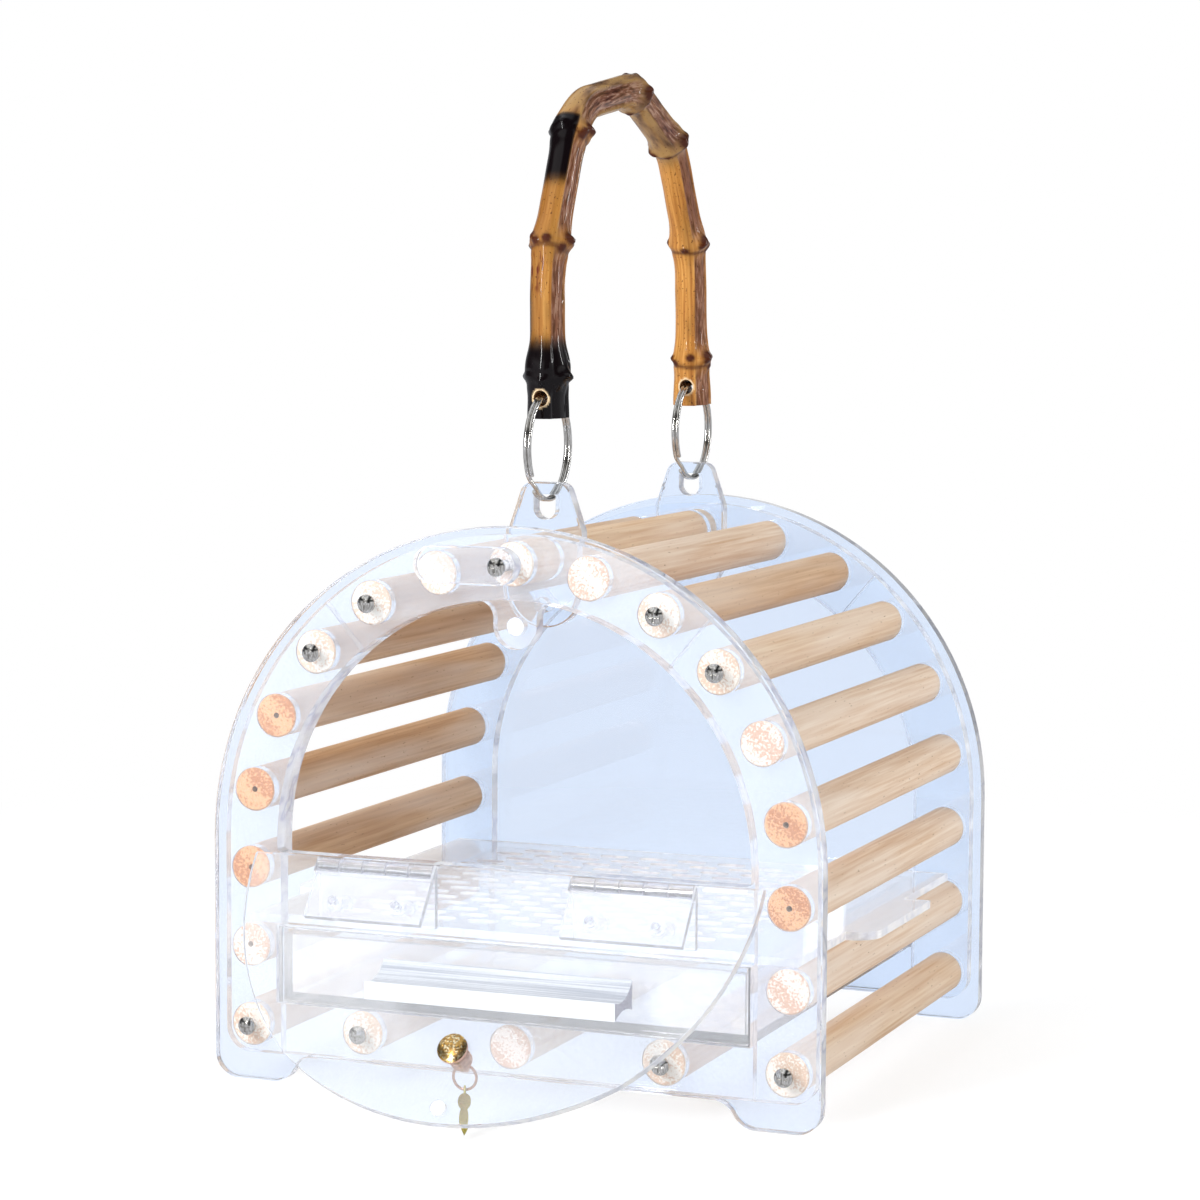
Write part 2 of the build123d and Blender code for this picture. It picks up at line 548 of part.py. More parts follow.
def make_door():
    """Thin arched panel with a flatter crown, notched round the hinge barrels."""
    bottom = HINGE_HEIGHT - DOOR_EDGE_BELOW - DOOR_ARC_HEIGHT
    top = DOOR_TOP - DOOR_ARC_HEIGHT
    corner = math.sqrt(DOOR_SIDE_RADIUS**2 - bottom**2)
    shoulder = math.sqrt(DOOR_SIDE_RADIUS**2 - DOOR_SHOULDER**2)
    half_turn = math.atan2(shoulder, DOOR_SHOULDER) / 2
    side_middle = (DOOR_SIDE_RADIUS * math.cos(half_turn), DOOR_SIDE_RADIUS * math.sin(half_turn))
    right = ThreePointArc((corner, bottom), side_middle, (DOOR_SHOULDER, shoulder))
    crown = ThreePointArc((DOOR_SHOULDER, shoulder), (0, top), (-DOOR_SHOULDER, shoulder))
    left = mirror(right, about=Plane.YZ)
    outline = make_face([right, crown, left, Line((-corner, bottom), (corner, bottom))])
    panel = polished(slab(Pos(0, DOOR_ARC_HEIGHT) * outline, DOOR_FRONT, DOOR_THICKNESS), SHEET_EDGE / 2)
    edge_height = HINGE_HEIGHT - DOOR_EDGE_BELOW
    bevel = Pos(0, DOOR_BACK, edge_height) * Rot(45, 0, 0)
    bevel_side = DOOR_EDGE_CHAMFER * math.sqrt(2)
    panel -= bevel * Box(3 * DOOR_SIDE_RADIUS, bevel_side, bevel_side)
    for side, centre in hinge_centres():
        reach = HINGE_WIDTH / 2 + KNUCKLE_GAP
        top = HINGE_HEIGHT + BARREL_RADIUS + SWING_CLEARANCE
        depth = (DOOR_FRONT - OVERRUN, DOOR_BACK + OVERRUN)
        panel -= block((centre - reach, centre + reach), depth, (edge_height - OVERRUN, top))
    holes = circles(door_screw_places(), HINGE_SCREW_DIAMETER / 2 + SCREW_CLEARANCE)
    holes += circles([(0, HINGE_HEIGHT + KNOB_REACH)], KNOB_STUD_DIAMETER / 2 + SEAT)
    holes += circles([(0, MAGNET_HEIGHT)], DOOR_MAGNET_DIAMETER / 2 + SEAT)
    panel -= slab(holes, DOOR_FRONT - OVERRUN, DOOR_THICKNESS + 2 * OVERRUN)
    parts["door_panel"] = opened(panel)


def make_knob():
    """Domed disc and stud inside the door, turned barrel with an eye outside it."""
    height = HINGE_HEIGHT + KNOB_REACH
    disc_place = Plane(origin=(0, DOOR_BACK + SEAT, height), z_dir=BACKWARD)
    disc = disc_place * domed_disc(KNOB_DISC_DIAMETER / 2, KNOB_DISC_HEIGHT, KNOB_DISC_DOME)
    stud_length = DOOR_THICKNESS + KNOB_LENGTH / 2
    disc += rod((0, DOOR_BACK + SEAT, height), FORWARD, KNOB_STUD_DIAMETER / 2, stud_length)
    parts["knob_disc"] = opened(disc)
    seat = DOOR_FRONT - SEAT
    knob = rod((0, seat, height), FORWARD, KNOB_DIAMETER / 2, KNOB_LENGTH)
    knob = chamfer(knob.edges().filter_by(GeomType.CIRCLE), KNOB_GROOVE)
    for groove in KNOB_GROOVES:
        middle = (0, seat - groove, height)
        knob -= Plane(origin=middle, z_dir=FORWARD) * Torus(KNOB_DIAMETER / 2, KNOB_GROOVE)
    eye_y = seat - KNOB_LENGTH - EYE_DIAMETER / 2
    eye_rod = rod((-EYE_THICKNESS / 2, eye_y, height), (1, 0, 0), EYE_DIAMETER / 2, EYE_THICKNESS)
    neck = block(
        (-EYE_THICKNESS / 2, EYE_THICKNESS / 2),
        (eye_y, seat - KNOB_LENGTH + KNOB_GROOVE),
        (height - EYE_DIAMETER / 2, height + EYE_DIAMETER / 2),
    )
    knob += eye_rod + neck
    knob -= rod((-EYE_THICKNESS, eye_y, height), (1, 0, 0), EYE_HOLE / 2, 2 * EYE_THICKNESS)
    bore_length = OVERRUN + KNOB_LENGTH / 2 + KNOB_STUD_ROOM
    knob -= rod((0, seat + OVERRUN, height), FORWARD, KNOB_STUD_DIAMETER / 2 + SEAT, bore_length)
    parts["door_knob"] = opened(knob)
    return opened_point(HINGE_Y - eye_y, KNOB_REACH)


def make_ring_and_charm(eye):
    """Small wire ring hanging in the knob's eye, and the leaf charm on it."""
    eye_y, eye_z = eye
    mean_radius = (KNOB_RING_DIAMETER - KNOB_RING_WIRE) / 2
    ring_place = Plane(origin=(0, eye_y, eye_z - mean_radius), z_dir=FORWARD)
    parts["knob_ring"] = ring_place * Torus(mean_radius, KNOB_RING_WIRE / 2)
    hang_z = eye_z - 2 * mean_radius
    turn = math.radians(CHARM_TURN)
    lean = math.radians(CHARM_LEAN)
    across = (math.cos(turn), math.sin(turn), 0)
    toward = (math.sin(turn), -math.cos(turn), 0)
    upward = (-math.sin(lean) * toward[0], -math.sin(lean) * toward[1], math.cos(lean))
    place = Plane(origin=(0, eye_y, hang_z), x_dir=across, z_dir=upward)
    loop_radius = (CHARM_LOOP_DIAMETER - CHARM_LOOP_WIRE) / 2
    loop_drop = loop_radius - (CHARM_LOOP_WIRE + KNOB_RING_WIRE) / 2 - CHARM_SLACK
    loop = Pos(0, 0, -loop_drop) * Rot(0, 90, 0) * Torus(loop_radius, CHARM_LOOP_WIRE / 2)
    cap_top = -loop_drop - loop_radius
    cap_middle = cap_top - CHARM_CAP_LENGTH / 2
    leaf_top = cap_top - CHARM_LEAF_START
    cap = Ellipse(CHARM_CAP_WIDTH / 2, CHARM_CAP_LENGTH / 2)
    half = CHARM_LEAF_WIDTH / 2
    leaf = make_face([
        ThreePointArc((0, 0), (half, -CHARM_LEAF_LENGTH / 2), (0, -CHARM_LEAF_LENGTH)),
        ThreePointArc((0, 0), (-half, -CHARM_LEAF_LENGTH / 2), (0, -CHARM_LEAF_LENGTH)),
    ])
    outline = Pos(0, cap_middle) * cap + Pos(0, leaf_top) * leaf
    flat = extrude(Plane.XZ * outline, amount=CHARM_THICKNESS / 2, both=True)
    parts["charm"] = place * (loop + flat)


def hollow(start, end, depth):
    """A shallow arc between two points, bowed to the left of the way from start to end."""
    middle = ((start[0] + end[0]) / 2, (start[1] + end[1]) / 2)
    run = (end[0] - start[0], end[1] - start[1])
    scale = depth / math.hypot(*run)
    return ThreePointArc(start, (middle[0] - run[1] * scale, middle[1] + run[0] * scale), end)


def make_drawer():
    """Open tray that slides under the floor, its front panel and its pull."""
    bottom = BAR_TOP + SLIDE_CLEARANCE
    half = OPENING_RADIUS - DRAWER_SIDE_GAP
    rear = DOWEL_SPAN - TRAY_END_GAP
    rim = FLOOR_HEIGHT - FLOOR_GAP
    outer = block((-half, half), (SEAT, rear), (bottom, rim))
    inner = block(
        (-half + TRAY_WALL, half - TRAY_WALL),
        (SEAT + TRAY_WALL, rear - TRAY_WALL),
        (bottom + TRAY_WALL, rim + OVERRUN),
    )
    parts["drawer_tray"] = outer - inner
    top = SLOT_TOP - SLIDE_CLEARANCE
    panel = Pos(0, (bottom + top) / 2) * Rectangle(2 * half, top - bottom)
    parts["drawer_front"] = polished(slab(panel, PLATE_FRONT, PLATE_THICKNESS))
    back = PLATE_FRONT - SEAT
    ridge = (back, top - PULL_TOP)
    underside = ridge[1] - PULL_HEIGHT
    lip = (back - PULL_PROJECTION, underside + PULL_FACE_HEIGHT)
    toe = (back - PULL_PROJECTION, underside)
    heel = (back, underside + PULL_BACK_RISE)
    profile = make_face([
        hollow(ridge, lip, PULL_TOP_HOLLOW),
        Line(lip, toe),
        hollow(toe, heel, PULL_UNDER_HOLLOW),
        Line(heel, ridge),
    ])
    across = Plane(origin=(-PULL_LENGTH / 2, 0, 0), x_dir=(0, 1, 0), z_dir=(1, 0, 0))
    parts["drawer_pull"] = extrude(across * profile, amount=PULL_LENGTH)


def make_grate():
    """Slotted floor sheet that lies on the second dowel of each side, with a tab over each dowel."""
    half = ARCH_RADIUS + GRATE_MARGIN
    front = RING_THICKNESS + 2 * SEAT + SLIDE_CLEARANCE
    rear = DOWEL_SPAN - front
    middle = (front + rear) / 2
    sheet = Pos(0, middle) * Rectangle(2 * half, rear - front)
    for sign in (-1, 1):
        edge = ARCH_RADIUS + GRATE_TAB_OUT
        tab_front = middle - GRATE_TAB_LENGTH / 2
        tab_rear = middle + GRATE_TAB_LENGTH / 2
        tab = make_face([
            Line((0, tab_front - GRATE_TAB_BEND), (half, tab_front - GRATE_TAB_BEND)),
            TangentArc((edge, tab_front), (half, tab_front - GRATE_TAB_BEND), tangent=(0, -1)),
            Line((edge, tab_front), (edge, tab_rear)),
            Polyline((edge, tab_rear), (0, tab_rear), (0, tab_front - GRATE_TAB_BEND)),
        ])
        sheet += tab if sign > 0 else mirror(tab, about=Plane.YZ)
    field_x = 2 * (ARCH_RADIUS - DOWEL_RADIUS - GRATE_BORDER)
    field_y = rear - front - 2 * GRATE_BORDER
    columns = int((field_x - SLOT_LENGTH) / SLOT_PITCH_X)
    rows = int((field_y - SLOT_WIDTH) / SLOT_PITCH_Y) + 1
    slots = []
    for row in range(rows):
        y = middle + (row - (rows - 1) / 2) * SLOT_PITCH_Y
        shift = SLOT_PITCH_X / 4 if row % 2 else -SLOT_PITCH_X / 4
        for column in range(columns):
            x = (column - (columns - 1) / 2) * SLOT_PITCH_X + shift
            slots.append(Pos(x, y) * SlotOverall(SLOT_LENGTH, SLOT_WIDTH))
    sheet -= Sketch() + slots
    parts["floor_grate"] = extrude(Pos(0, 0, FLOOR_HEIGHT) * sheet, amount=GRATE_THICKNESS)


def ear_slot_top():
    return TOP_DOWEL_HEIGHT + BRACKET_RISE - EAR_WEB


def make_brackets():
    """Ear brackets threaded on the top dowel, each with a slot for its split ring."""
    centre = TOP_DOWEL_HEIGHT
    lobe = centre - BRACKET_DROP + BRACKET_HALF_WIDTH
    shoulder = centre + BRACKET_SHOULDER
    top = centre + BRACKET_RISE
    outline = make_face([
        ThreePointArc((-BRACKET_HALF_WIDTH, lobe), (0, centre - BRACKET_DROP), (BRACKET_HALF_WIDTH, lobe)),
        Polyline(
            (BRACKET_HALF_WIDTH, lobe), (BRACKET_HALF_WIDTH, shoulder), (BRACKET_TOP_HALF_WIDTH, top),
            (-BRACKET_TOP_HALF_WIDTH, top), (-BRACKET_HALF_WIDTH, shoulder), (-BRACKET_HALF_WIDTH, lobe),
        ),
    ])
    outline = fillet(outline.vertices().sort_by(Axis.Y)[-4:], BRACKET_CORNER)
    slot = Pos(0, ear_slot_top() - EAR_SLOT_HEIGHT / 2) * Rectangle(EAR_SLOT_WIDTH, EAR_SLOT_HEIGHT)
    slot = fillet(slot.vertices().sort_by(Axis.Y)[:2], EAR_SLOT_WIDTH / 2 - SEAT)
    slot = fillet(slot.vertices().sort_by(Axis.Y)[-2:], EAR_SLOT_WIDTH / 8)
    socket = circles([(0, centre)], SOCKET_RADIUS)
    hang_hole = circles([(0, centre - HANG_HOLE_DROP)], HANG_HOLE_DIAMETER / 2)
    for end, middle in BRACKET_MIDDLES.items():
        front = middle - BRACKET_THICKNESS / 2
        sheet = polished(slab(outline, front, BRACKET_THICKNESS))
        parts[f"ear_bracket_{end}"] = sheet - slab(slot + socket + hang_hole, front, BRACKET_THICKNESS)


def split_ring_centre():
    """Height of the split rings' centres, pulled up under the ear slots' tops with room to fold over."""
    inner = SPLIT_RING_DIAMETER / 2 - SPLIT_RING_WIRE
    sag = BRACKET_THICKNESS**2 / (8 * inner)
    room_to_turn = (SPLIT_RING_WIDTH - SPLIT_RING_WIRE) / 2 + SLIDE_CLEARANCE
    return ear_slot_top() - room_to_turn - sag + inner


def make_split_rings():
    """Flat double-coil wire rings through the ear slots and the handle's feet."""
    outer = SPLIT_RING_DIAMETER / 2
    inner = outer - SPLIT_RING_WIRE
    for end, middle in BRACKET_MIDDLES.items():
        ring = Cylinder(outer, SPLIT_RING_WIDTH) - Cylinder(inner, SPLIT_RING_WIDTH)
        ring = fillet(ring.edges().filter_by(GeomType.CIRCLE), SPLIT_RING_WIRE / 4)
        groove = Cylinder(outer + OVERRUN, SPLIT_RING_GROOVE)
        ring -= groove - Cylinder(outer - SPLIT_RING_WIRE / 4, SPLIT_RING_GROOVE)
        parts[f"split_ring_{end}"] = Pos(0, middle, split_ring_centre()) * Rot(0, 90, 0) * ring


def foot_hole_height():
    """The ring arches a little inside the thick foot, so the hole sits below the ring's top."""
    outer = SPLIT_RING_DIAMETER / 2
    sag = BAMBOO_FOOT_DIAMETER**2 / (8 * outer)
    return split_ring_centre() + outer - (SPLIT_RING_WIRE + sag) / 2


def make_handle():
    """Bent bamboo cane with swollen nodes and drilled feet."""
    foot = foot_hole_height() - FOOT_HOLE_RISE
    front = BRACKET_MIDDLES["front"]
    rear = BRACKET_MIDDLES["rear"]
    corners = [
        (front, foot),
        (front - FRONT_BEND_BOW, foot + FRONT_BEND_RISE),
        (front + FRONT_SHOULDER_INSET, foot + FRONT_SHOULDER_RISE),
        ((front + rear) / 2 + CROWN_BEHIND_MIDDLE, foot + CROWN_RISE),
        (rear - REAR_SHOULDER_INSET, foot + REAR_SHOULDER_RISE),
        (rear - REAR_BEND_INSET, foot + REAR_BEND_RISE),
        (rear, foot),
    ]
    radii = [LEG_BEND_RADIUS, SHOULDER_RADIUS, CROWN_RADIUS, SHOULDER_RADIUS, LEG_BEND_RADIUS]
    points = [(0, y, z) for y, z in corners]
    path = FilletPolyline(*points, radius=radii)
    section = Plane(origin=path @ 0, z_dir=path % 0) * Circle(BAMBOO_DIAMETER / 2)
    cane = sweep(section, path=path)
    for share in BAMBOO_NODES:
        cane += Pos(path @ share) * Sphere(BAMBOO_NODE_DIAMETER / 2)
    for y in (front, rear):
        taper = Cone(
            BAMBOO_FOOT_DIAMETER / 2, BAMBOO_DIAMETER / 2, BAMBOO_FOOT_TAPER,
            align=(Align.CENTER, Align.CENTER, Align.MIN),
        )
        cane += Pos(0, y, foot) * taper
        hole_start = (0, y - BAMBOO_FOOT_DIAMETER, foot + FOOT_HOLE_RISE)
        cane -= rod(hole_start, BACKWARD, FOOT_HOLE_DIAMETER / 2, 2 * BAMBOO_FOOT_DIAMETER)
    parts["bamboo_handle"] = cane


def make_all():
    make_end_plates()
    make_rings()
    make_dowels()
    make_plate_screws()
    make_latch()
    make_magnets()
    make_hinges()
    make_door()
    make_ring_and_charm(make_knob())
    make_drawer()
    make_grate()
    make_brackets()
    make_split_rings()
    make_handle()


make_all()
bounds = Compound(list(parts.values())).bounding_box()
ORIGIN = Vector((bounds.min.X + bounds.max.X) / 2, (bounds.min.Y + bounds.max.Y) / 2, bounds.min.Z)
os.makedirs("parts", exist_ok=True)
for node, shape in parts.items():
    export_step(Pos(-ORIGIN) * shape, f"parts/{node}.step")
print(len(parts), "nodes, overall", bounds.size, "origin moved by", -ORIGIN)
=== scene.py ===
import json
import math

import bpy
from mathutils import Matrix, Vector, kdtree, noise


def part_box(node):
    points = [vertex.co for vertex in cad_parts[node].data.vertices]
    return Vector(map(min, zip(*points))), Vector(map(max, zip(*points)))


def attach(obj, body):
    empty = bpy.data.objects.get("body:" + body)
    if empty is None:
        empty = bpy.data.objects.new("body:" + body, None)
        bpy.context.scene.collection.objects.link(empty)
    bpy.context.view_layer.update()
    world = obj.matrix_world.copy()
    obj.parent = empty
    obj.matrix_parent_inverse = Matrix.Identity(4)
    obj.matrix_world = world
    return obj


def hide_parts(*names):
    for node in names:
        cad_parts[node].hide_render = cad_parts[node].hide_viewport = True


# Bird travel carrier: clear acrylic end plates and door, pine dowels, and a lacquered bamboo handle
# on split rings. The CAD frame gives every part's place and size, and the values below give the
# cane's bends and relief, the camera and the lamps. Lengths are in millimetres and turn into
# Blender's metres by MM. +X is the carrier's right, +Y runs from the door to the rear, +Z is up.

MM = 0.001
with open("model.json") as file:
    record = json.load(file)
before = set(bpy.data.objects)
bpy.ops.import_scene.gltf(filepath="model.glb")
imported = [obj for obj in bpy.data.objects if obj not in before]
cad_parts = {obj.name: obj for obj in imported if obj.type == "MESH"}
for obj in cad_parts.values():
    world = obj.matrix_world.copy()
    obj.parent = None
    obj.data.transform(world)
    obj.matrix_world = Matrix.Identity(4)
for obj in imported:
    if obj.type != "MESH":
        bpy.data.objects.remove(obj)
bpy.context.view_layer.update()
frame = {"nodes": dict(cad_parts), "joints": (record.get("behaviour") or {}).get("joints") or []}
nodes = frame["nodes"]
joints = {joint["name"]: joint for joint in frame["joints"]}


# ---------------------------------------------------------------- colour, nodes and measures

SHARE, UNDER, OVER = 0, 6, 7                        # a colour Mix node's sockets
COLOUR_MIX = {"data_type": "RGBA", "output": 2}     # and its settings


def linear(hex_colour):
    """An sRGB hex colour as linear red, green, blue and alpha."""
    channels = [int(hex_colour[place:place + 2], 16) / 255 for place in (1, 3, 5)]
    turned = [c / 12.92 if c <= 0.04045 else ((c + 0.055) / 1.055) ** 2.4 for c in channels]
    return (*turned, 1.0)


def add(tree, kind, inputs=None, stops=(), output=0, **settings):
    """Adds a node with its settings, and gives back the output that is asked for. inputs names or
    numbers a socket and gives a value or a link; stops are a colour ramp's places and colours."""
    made = tree.nodes.new(kind)
    for name, value in settings.items():
        setattr(made, name, value)
    for key, value in (inputs or {}).items():
        if isinstance(value, bpy.types.NodeSocket):
            tree.links.new(value, made.inputs[key])
        else:
            made.inputs[key].default_value = value
    for _ in stops[2:]:
        made.color_ramp.elements.new(1.0)
    for step, (place, colour) in enumerate(stops):
        made.color_ramp.elements[step].position = place
        made.color_ramp.elements[step].color = linear(colour)
    return made.outputs[output] if made.outputs else made


def new_material(name):
    """An empty node material and its tree."""
    material = bpy.data.materials.new(name)
    material.use_nodes = True
    material.node_tree.nodes.clear()
    return material, material.node_tree


def own_place(tree, spacing):
    """The point's place on its own piece, counted in features of the given spacing along X, Y and Z."""
    place = add(tree, "ShaderNodeTexCoord", output="Object")
    steps = tuple(1 / (size * MM) for size in spacing)
    return add(tree, "ShaderNodeVectorMath", {0: place, 1: steps}, operation="MULTIPLY")


def facing(tree, way, both_ways=True):
    """How squarely the skin faces a direction, up to 1; both_ways counts the opposite one too."""
    normal = add(tree, "ShaderNodeTexCoord", output="Normal")
    turned = add(tree, "ShaderNodeVectorMath", {0: normal, 1: way}, output="Value", operation="DOT_PRODUCT")
    return add(tree, "ShaderNodeMath", {0: turned}, operation="ABSOLUTE") if both_ways else turned


def middle_of(name):
    """The middle of a CAD node's box, in millimetres."""
    low, high = (Vector(corner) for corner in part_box(name))
    return (low + high) / 2 / MM


def put_in_scene(name, data):
    """A new object with this mesh, lamp or camera, in the scene."""
    made = bpy.data.objects.new(name, data)
    bpy.context.scene.collection.objects.link(made)
    return made


def gentle(value):
    """A smooth step from 0 to 1."""
    held = min(1.0, max(0.0, value))
    return held * held * (3 - 2 * held)


def begins(value, start, fade):
    """Rises smoothly from 0 at the start to 1 a fade later."""
    return gentle((value - start) / fade)


def ends(value, end, fade):
    """Falls smoothly from 1 to 0 at the end, over the fade before it."""
    return gentle((end - value) / fade)


def hump(off, reach):
    """A soft bump: 1 in its middle, and down to about a third at its reach."""
    return math.exp(-(off / reach) ** 2)


# ---------------------------------------------------------------- clear plastics

ACRYLIC_IOR = 1.49
POLYCARBONATE_IOR = 1.585
SMUDGE_MM = 38.0              # handling marks on the faces
SCUFF_MM = (1.2, 9.0, 1.2)    # fine scuffs, drawn coarser than real so that they show
STRIA_MM = 9.0                # light and grey dashes along a laser-cut edge

ALONG_CARRIER = (0, 1, 0)
ACROSS_CARRIER = (1, 0, 0)
UPWARDS = (0, 0, 1)


def clear_plastic(name, tint, haze, across, edge_haze=0.35, edge_grey="#CFD1E2",
                  ior=ACRYLIC_IOR, finish=0.0):
    """Clear plastic sheet or moulding: polished see-through faces with a share of haze from fine
    scuffs and finger marks, and cut edges that break light up into white and violet-grey dashes.
    haze is the share that the faces scatter and edge_haze what a cut edge scatters besides; across
    is the direction through the sheet, edge_grey the darkest dash, finish the faces' roughness."""
    material, tree = new_material(name)
    on_edge = add(tree, "ShaderNodeMapRange", {
        "Value": facing(tree, across), "From Min": 0.65, "From Max": 0.45,
    })
    smudges = add(tree, "ShaderNodeTexNoise", {
        "Vector": own_place(tree, (SMUDGE_MM,) * 3), "Scale": 1.0, "Detail": 3.0, "Roughness": 0.6,
    })
    scuffs = add(tree, "ShaderNodeTexNoise", {
        "Vector": own_place(tree, SCUFF_MM), "Scale": 1.0, "Detail": 2.0,
    })
    marks = add(tree, "ShaderNodeMath", {0: smudges, 1: scuffs}, operation="MULTIPLY")
    face_haze = add(tree, "ShaderNodeMapRange", {
        "Value": marks, "From Min": 0.1, "From Max": 0.45, "To Min": 0.6 * haze, "To Max": 1.5 * haze,
    })
    lost = add(tree, "ShaderNodeMath", {0: on_edge, 1: edge_haze, 2: face_haze}, operation="MULTIPLY_ADD")
    see_through = add(tree, "ShaderNodeMath", {0: 1.0, 1: lost}, operation="SUBTRACT")
    striae = add(tree, "ShaderNodeTexNoise", {
        "Vector": own_place(tree, (STRIA_MM,) * 3), "Scale": 1.0, "Detail": 1.0,
    })
    cut_edge = add(tree, "ShaderNodeValToRGB", {0: striae}, (
        (0.36, "#FFFFFF"), (0.5, "#F4F5FA"), (0.58, edge_grey), (0.66, "#FFFFFF"),
    ))
    colour = add(tree, "ShaderNodeMix", {SHARE: on_edge, UNDER: linear(tint), OVER: cut_edge}, **COLOUR_MIX)
    sheet = add(tree, "ShaderNodeBsdfPrincipled", {
        "Base Color": colour, "Transmission Weight": see_through, "Roughness": finish, "IOR": ior,
    })
    # light on its way from a lamp, or bounced off something matt, goes straight through the sheet
    let_through = add(tree, "ShaderNodeBsdfTransparent", {"Color": linear(tint)})
    shadow_ray = add(tree, "ShaderNodeLightPath", output="Is Shadow Ray")
    diffuse_ray = add(tree, "ShaderNodeLightPath", output="Is Diffuse Ray")
    lamp_ray = add(tree, "ShaderNodeMath", {0: shadow_ray, 1: diffuse_ray}, operation="MAXIMUM")
    shader = add(tree, "ShaderNodeMixShader", {0: lamp_ray, 1: sheet, 2: let_through})
    add(tree, "ShaderNodeOutputMaterial", {"Surface": shader})
    return material


PULL_GRAIN_MM = 0.9           # the frosting's grain, drawn coarser than real so that it shows
MILLING_MM = (90.0, PULL_GRAIN_MM, PULL_GRAIN_MM)   # long lines left along the bar's scooped top


def frosted_acrylic():
    """Frosted white acrylic bar: a soft milky face with a fine grain, and painted shade that greys the
    scooped top, where milling lines run along it, and the sawn ends."""
    material, tree = new_material("frosted_white_acrylic")
    grain = add(tree, "ShaderNodeTexNoise", {
        "Vector": own_place(tree, (PULL_GRAIN_MM,) * 3), "Scale": 1.0, "Detail": 3.0,
    })
    lines = add(tree, "ShaderNodeTexNoise", {
        "Vector": own_place(tree, MILLING_MM), "Scale": 1.0, "Detail": 2.0,
    })
    # milling lines on the scooped top, in greys that are painted shade
    milled_and_shaded_top = add(tree, "ShaderNodeValToRGB", {0: lines}, ((0.4, "#A3AAB8"), (0.6, "#DDE1E8")))
    # painted shade: the sawn ends are drawn in greys, with the grain
    sawn = add(tree, "ShaderNodeValToRGB", {0: grain}, ((0.35, "#7E7F98"), (0.65, "#ACADC2")))
    shaded_top = add(tree, "ShaderNodeMapRange", {
        "Value": facing(tree, UPWARDS, both_ways=False), "From Min": 0.25, "From Max": 0.6,
    })
    on_end = add(tree, "ShaderNodeMapRange", {
        "Value": facing(tree, ACROSS_CARRIER), "From Min": 0.5, "From Max": 0.8,
    })
    colour = add(tree, "ShaderNodeMix", {
        SHARE: shaded_top, UNDER: linear("#E6E8EE"), OVER: milled_and_shaded_top,
    }, **COLOUR_MIX)
    # the ends take their painted shade
    colour = add(tree, "ShaderNodeMix", {SHARE: on_end, UNDER: colour, OVER: sawn}, **COLOUR_MIX)
    bump = add(tree, "ShaderNodeBump", {"Height": grain, "Strength": 0.3, "Distance": 0.1 * MM})
    frosted = add(tree, "ShaderNodeBsdfPrincipled", {
        "Base Color": colour, "Transmission Weight": 0.12, "Roughness": 0.42,
        "IOR": ACRYLIC_IOR, "Normal": bump,
    })
    add(tree, "ShaderNodeOutputMaterial", {"Surface": frosted})
    return material


# ---------------------------------------------------------------- metals

def polished_metal(name, bright, dull, roughness, scratch_mm):
    """Polished metal that has been handled: fine scratches turn it a little duller and rougher."""
    material, tree = new_material(name)
    scratches = add(tree, "ShaderNodeTexNoise", {
        "Vector": own_place(tree, (scratch_mm, scratch_mm, 6 * scratch_mm)), "Scale": 1.0, "Detail": 3.0,
    })
    colour = add(tree, "ShaderNodeValToRGB", {0: scratches}, ((0.35, bright), (0.7, dull)))
    worn = add(tree, "ShaderNodeMapRange", {
        "Value": scratches, "From Min": 0.3, "From Max": 0.7,
        "To Min": 0.6 * roughness, "To Max": 1.5 * roughness,
    })
    bump = add(tree, "ShaderNodeBump", {"Height": scratches, "Strength": 0.12, "Distance": 0.05 * MM})
    surface = add(tree, "ShaderNodeBsdfPrincipled", {
        "Base Color": colour, "Metallic": 1.0, "Roughness": worn, "Normal": bump,
    })
    add(tree, "ShaderNodeOutputMaterial", {"Surface": surface})
    return material


MAGNET_MOTTLE_MM = 1.5


def coated_magnet(name, across):
    """Disc magnet dipped in white epoxy: smooth and glossy, with faint grey mottling from the dip and
    a dark grey-violet side. across is the way its face looks."""
    material, tree = new_material(name)
    mottle = add(tree, "ShaderNodeTexNoise", {
        "Vector": own_place(tree, (MAGNET_MOTTLE_MM,) * 3), "Scale": 1.0, "Detail": 2.0,
    })
    coat = add(tree, "ShaderNodeValToRGB", {0: mottle}, ((0.35, "#D3D6E4"), (0.65, "#F4F5FA")))
    on_face = add(tree, "ShaderNodeMapRange", {
        "Value": facing(tree, across), "From Min": 0.7, "From Max": 0.9,
    })
    colour = add(tree, "ShaderNodeMix", {SHARE: on_face, UNDER: linear("#67657F"), OVER: coat}, **COLOUR_MIX)
    worn = add(tree, "ShaderNodeMapRange", {
        "Value": mottle, "From Min": 0.3, "From Max": 0.7, "To Min": 0.12, "To Max": 0.3,
    })
    surface = add(tree, "ShaderNodeBsdfPrincipled", {"Base Color": colour, "Roughness": worn, "IOR": 1.55})
    add(tree, "ShaderNodeOutputMaterial", {"Surface": surface})
    return material


GLITTER_MM = 0.55             # flakes on the knob's face


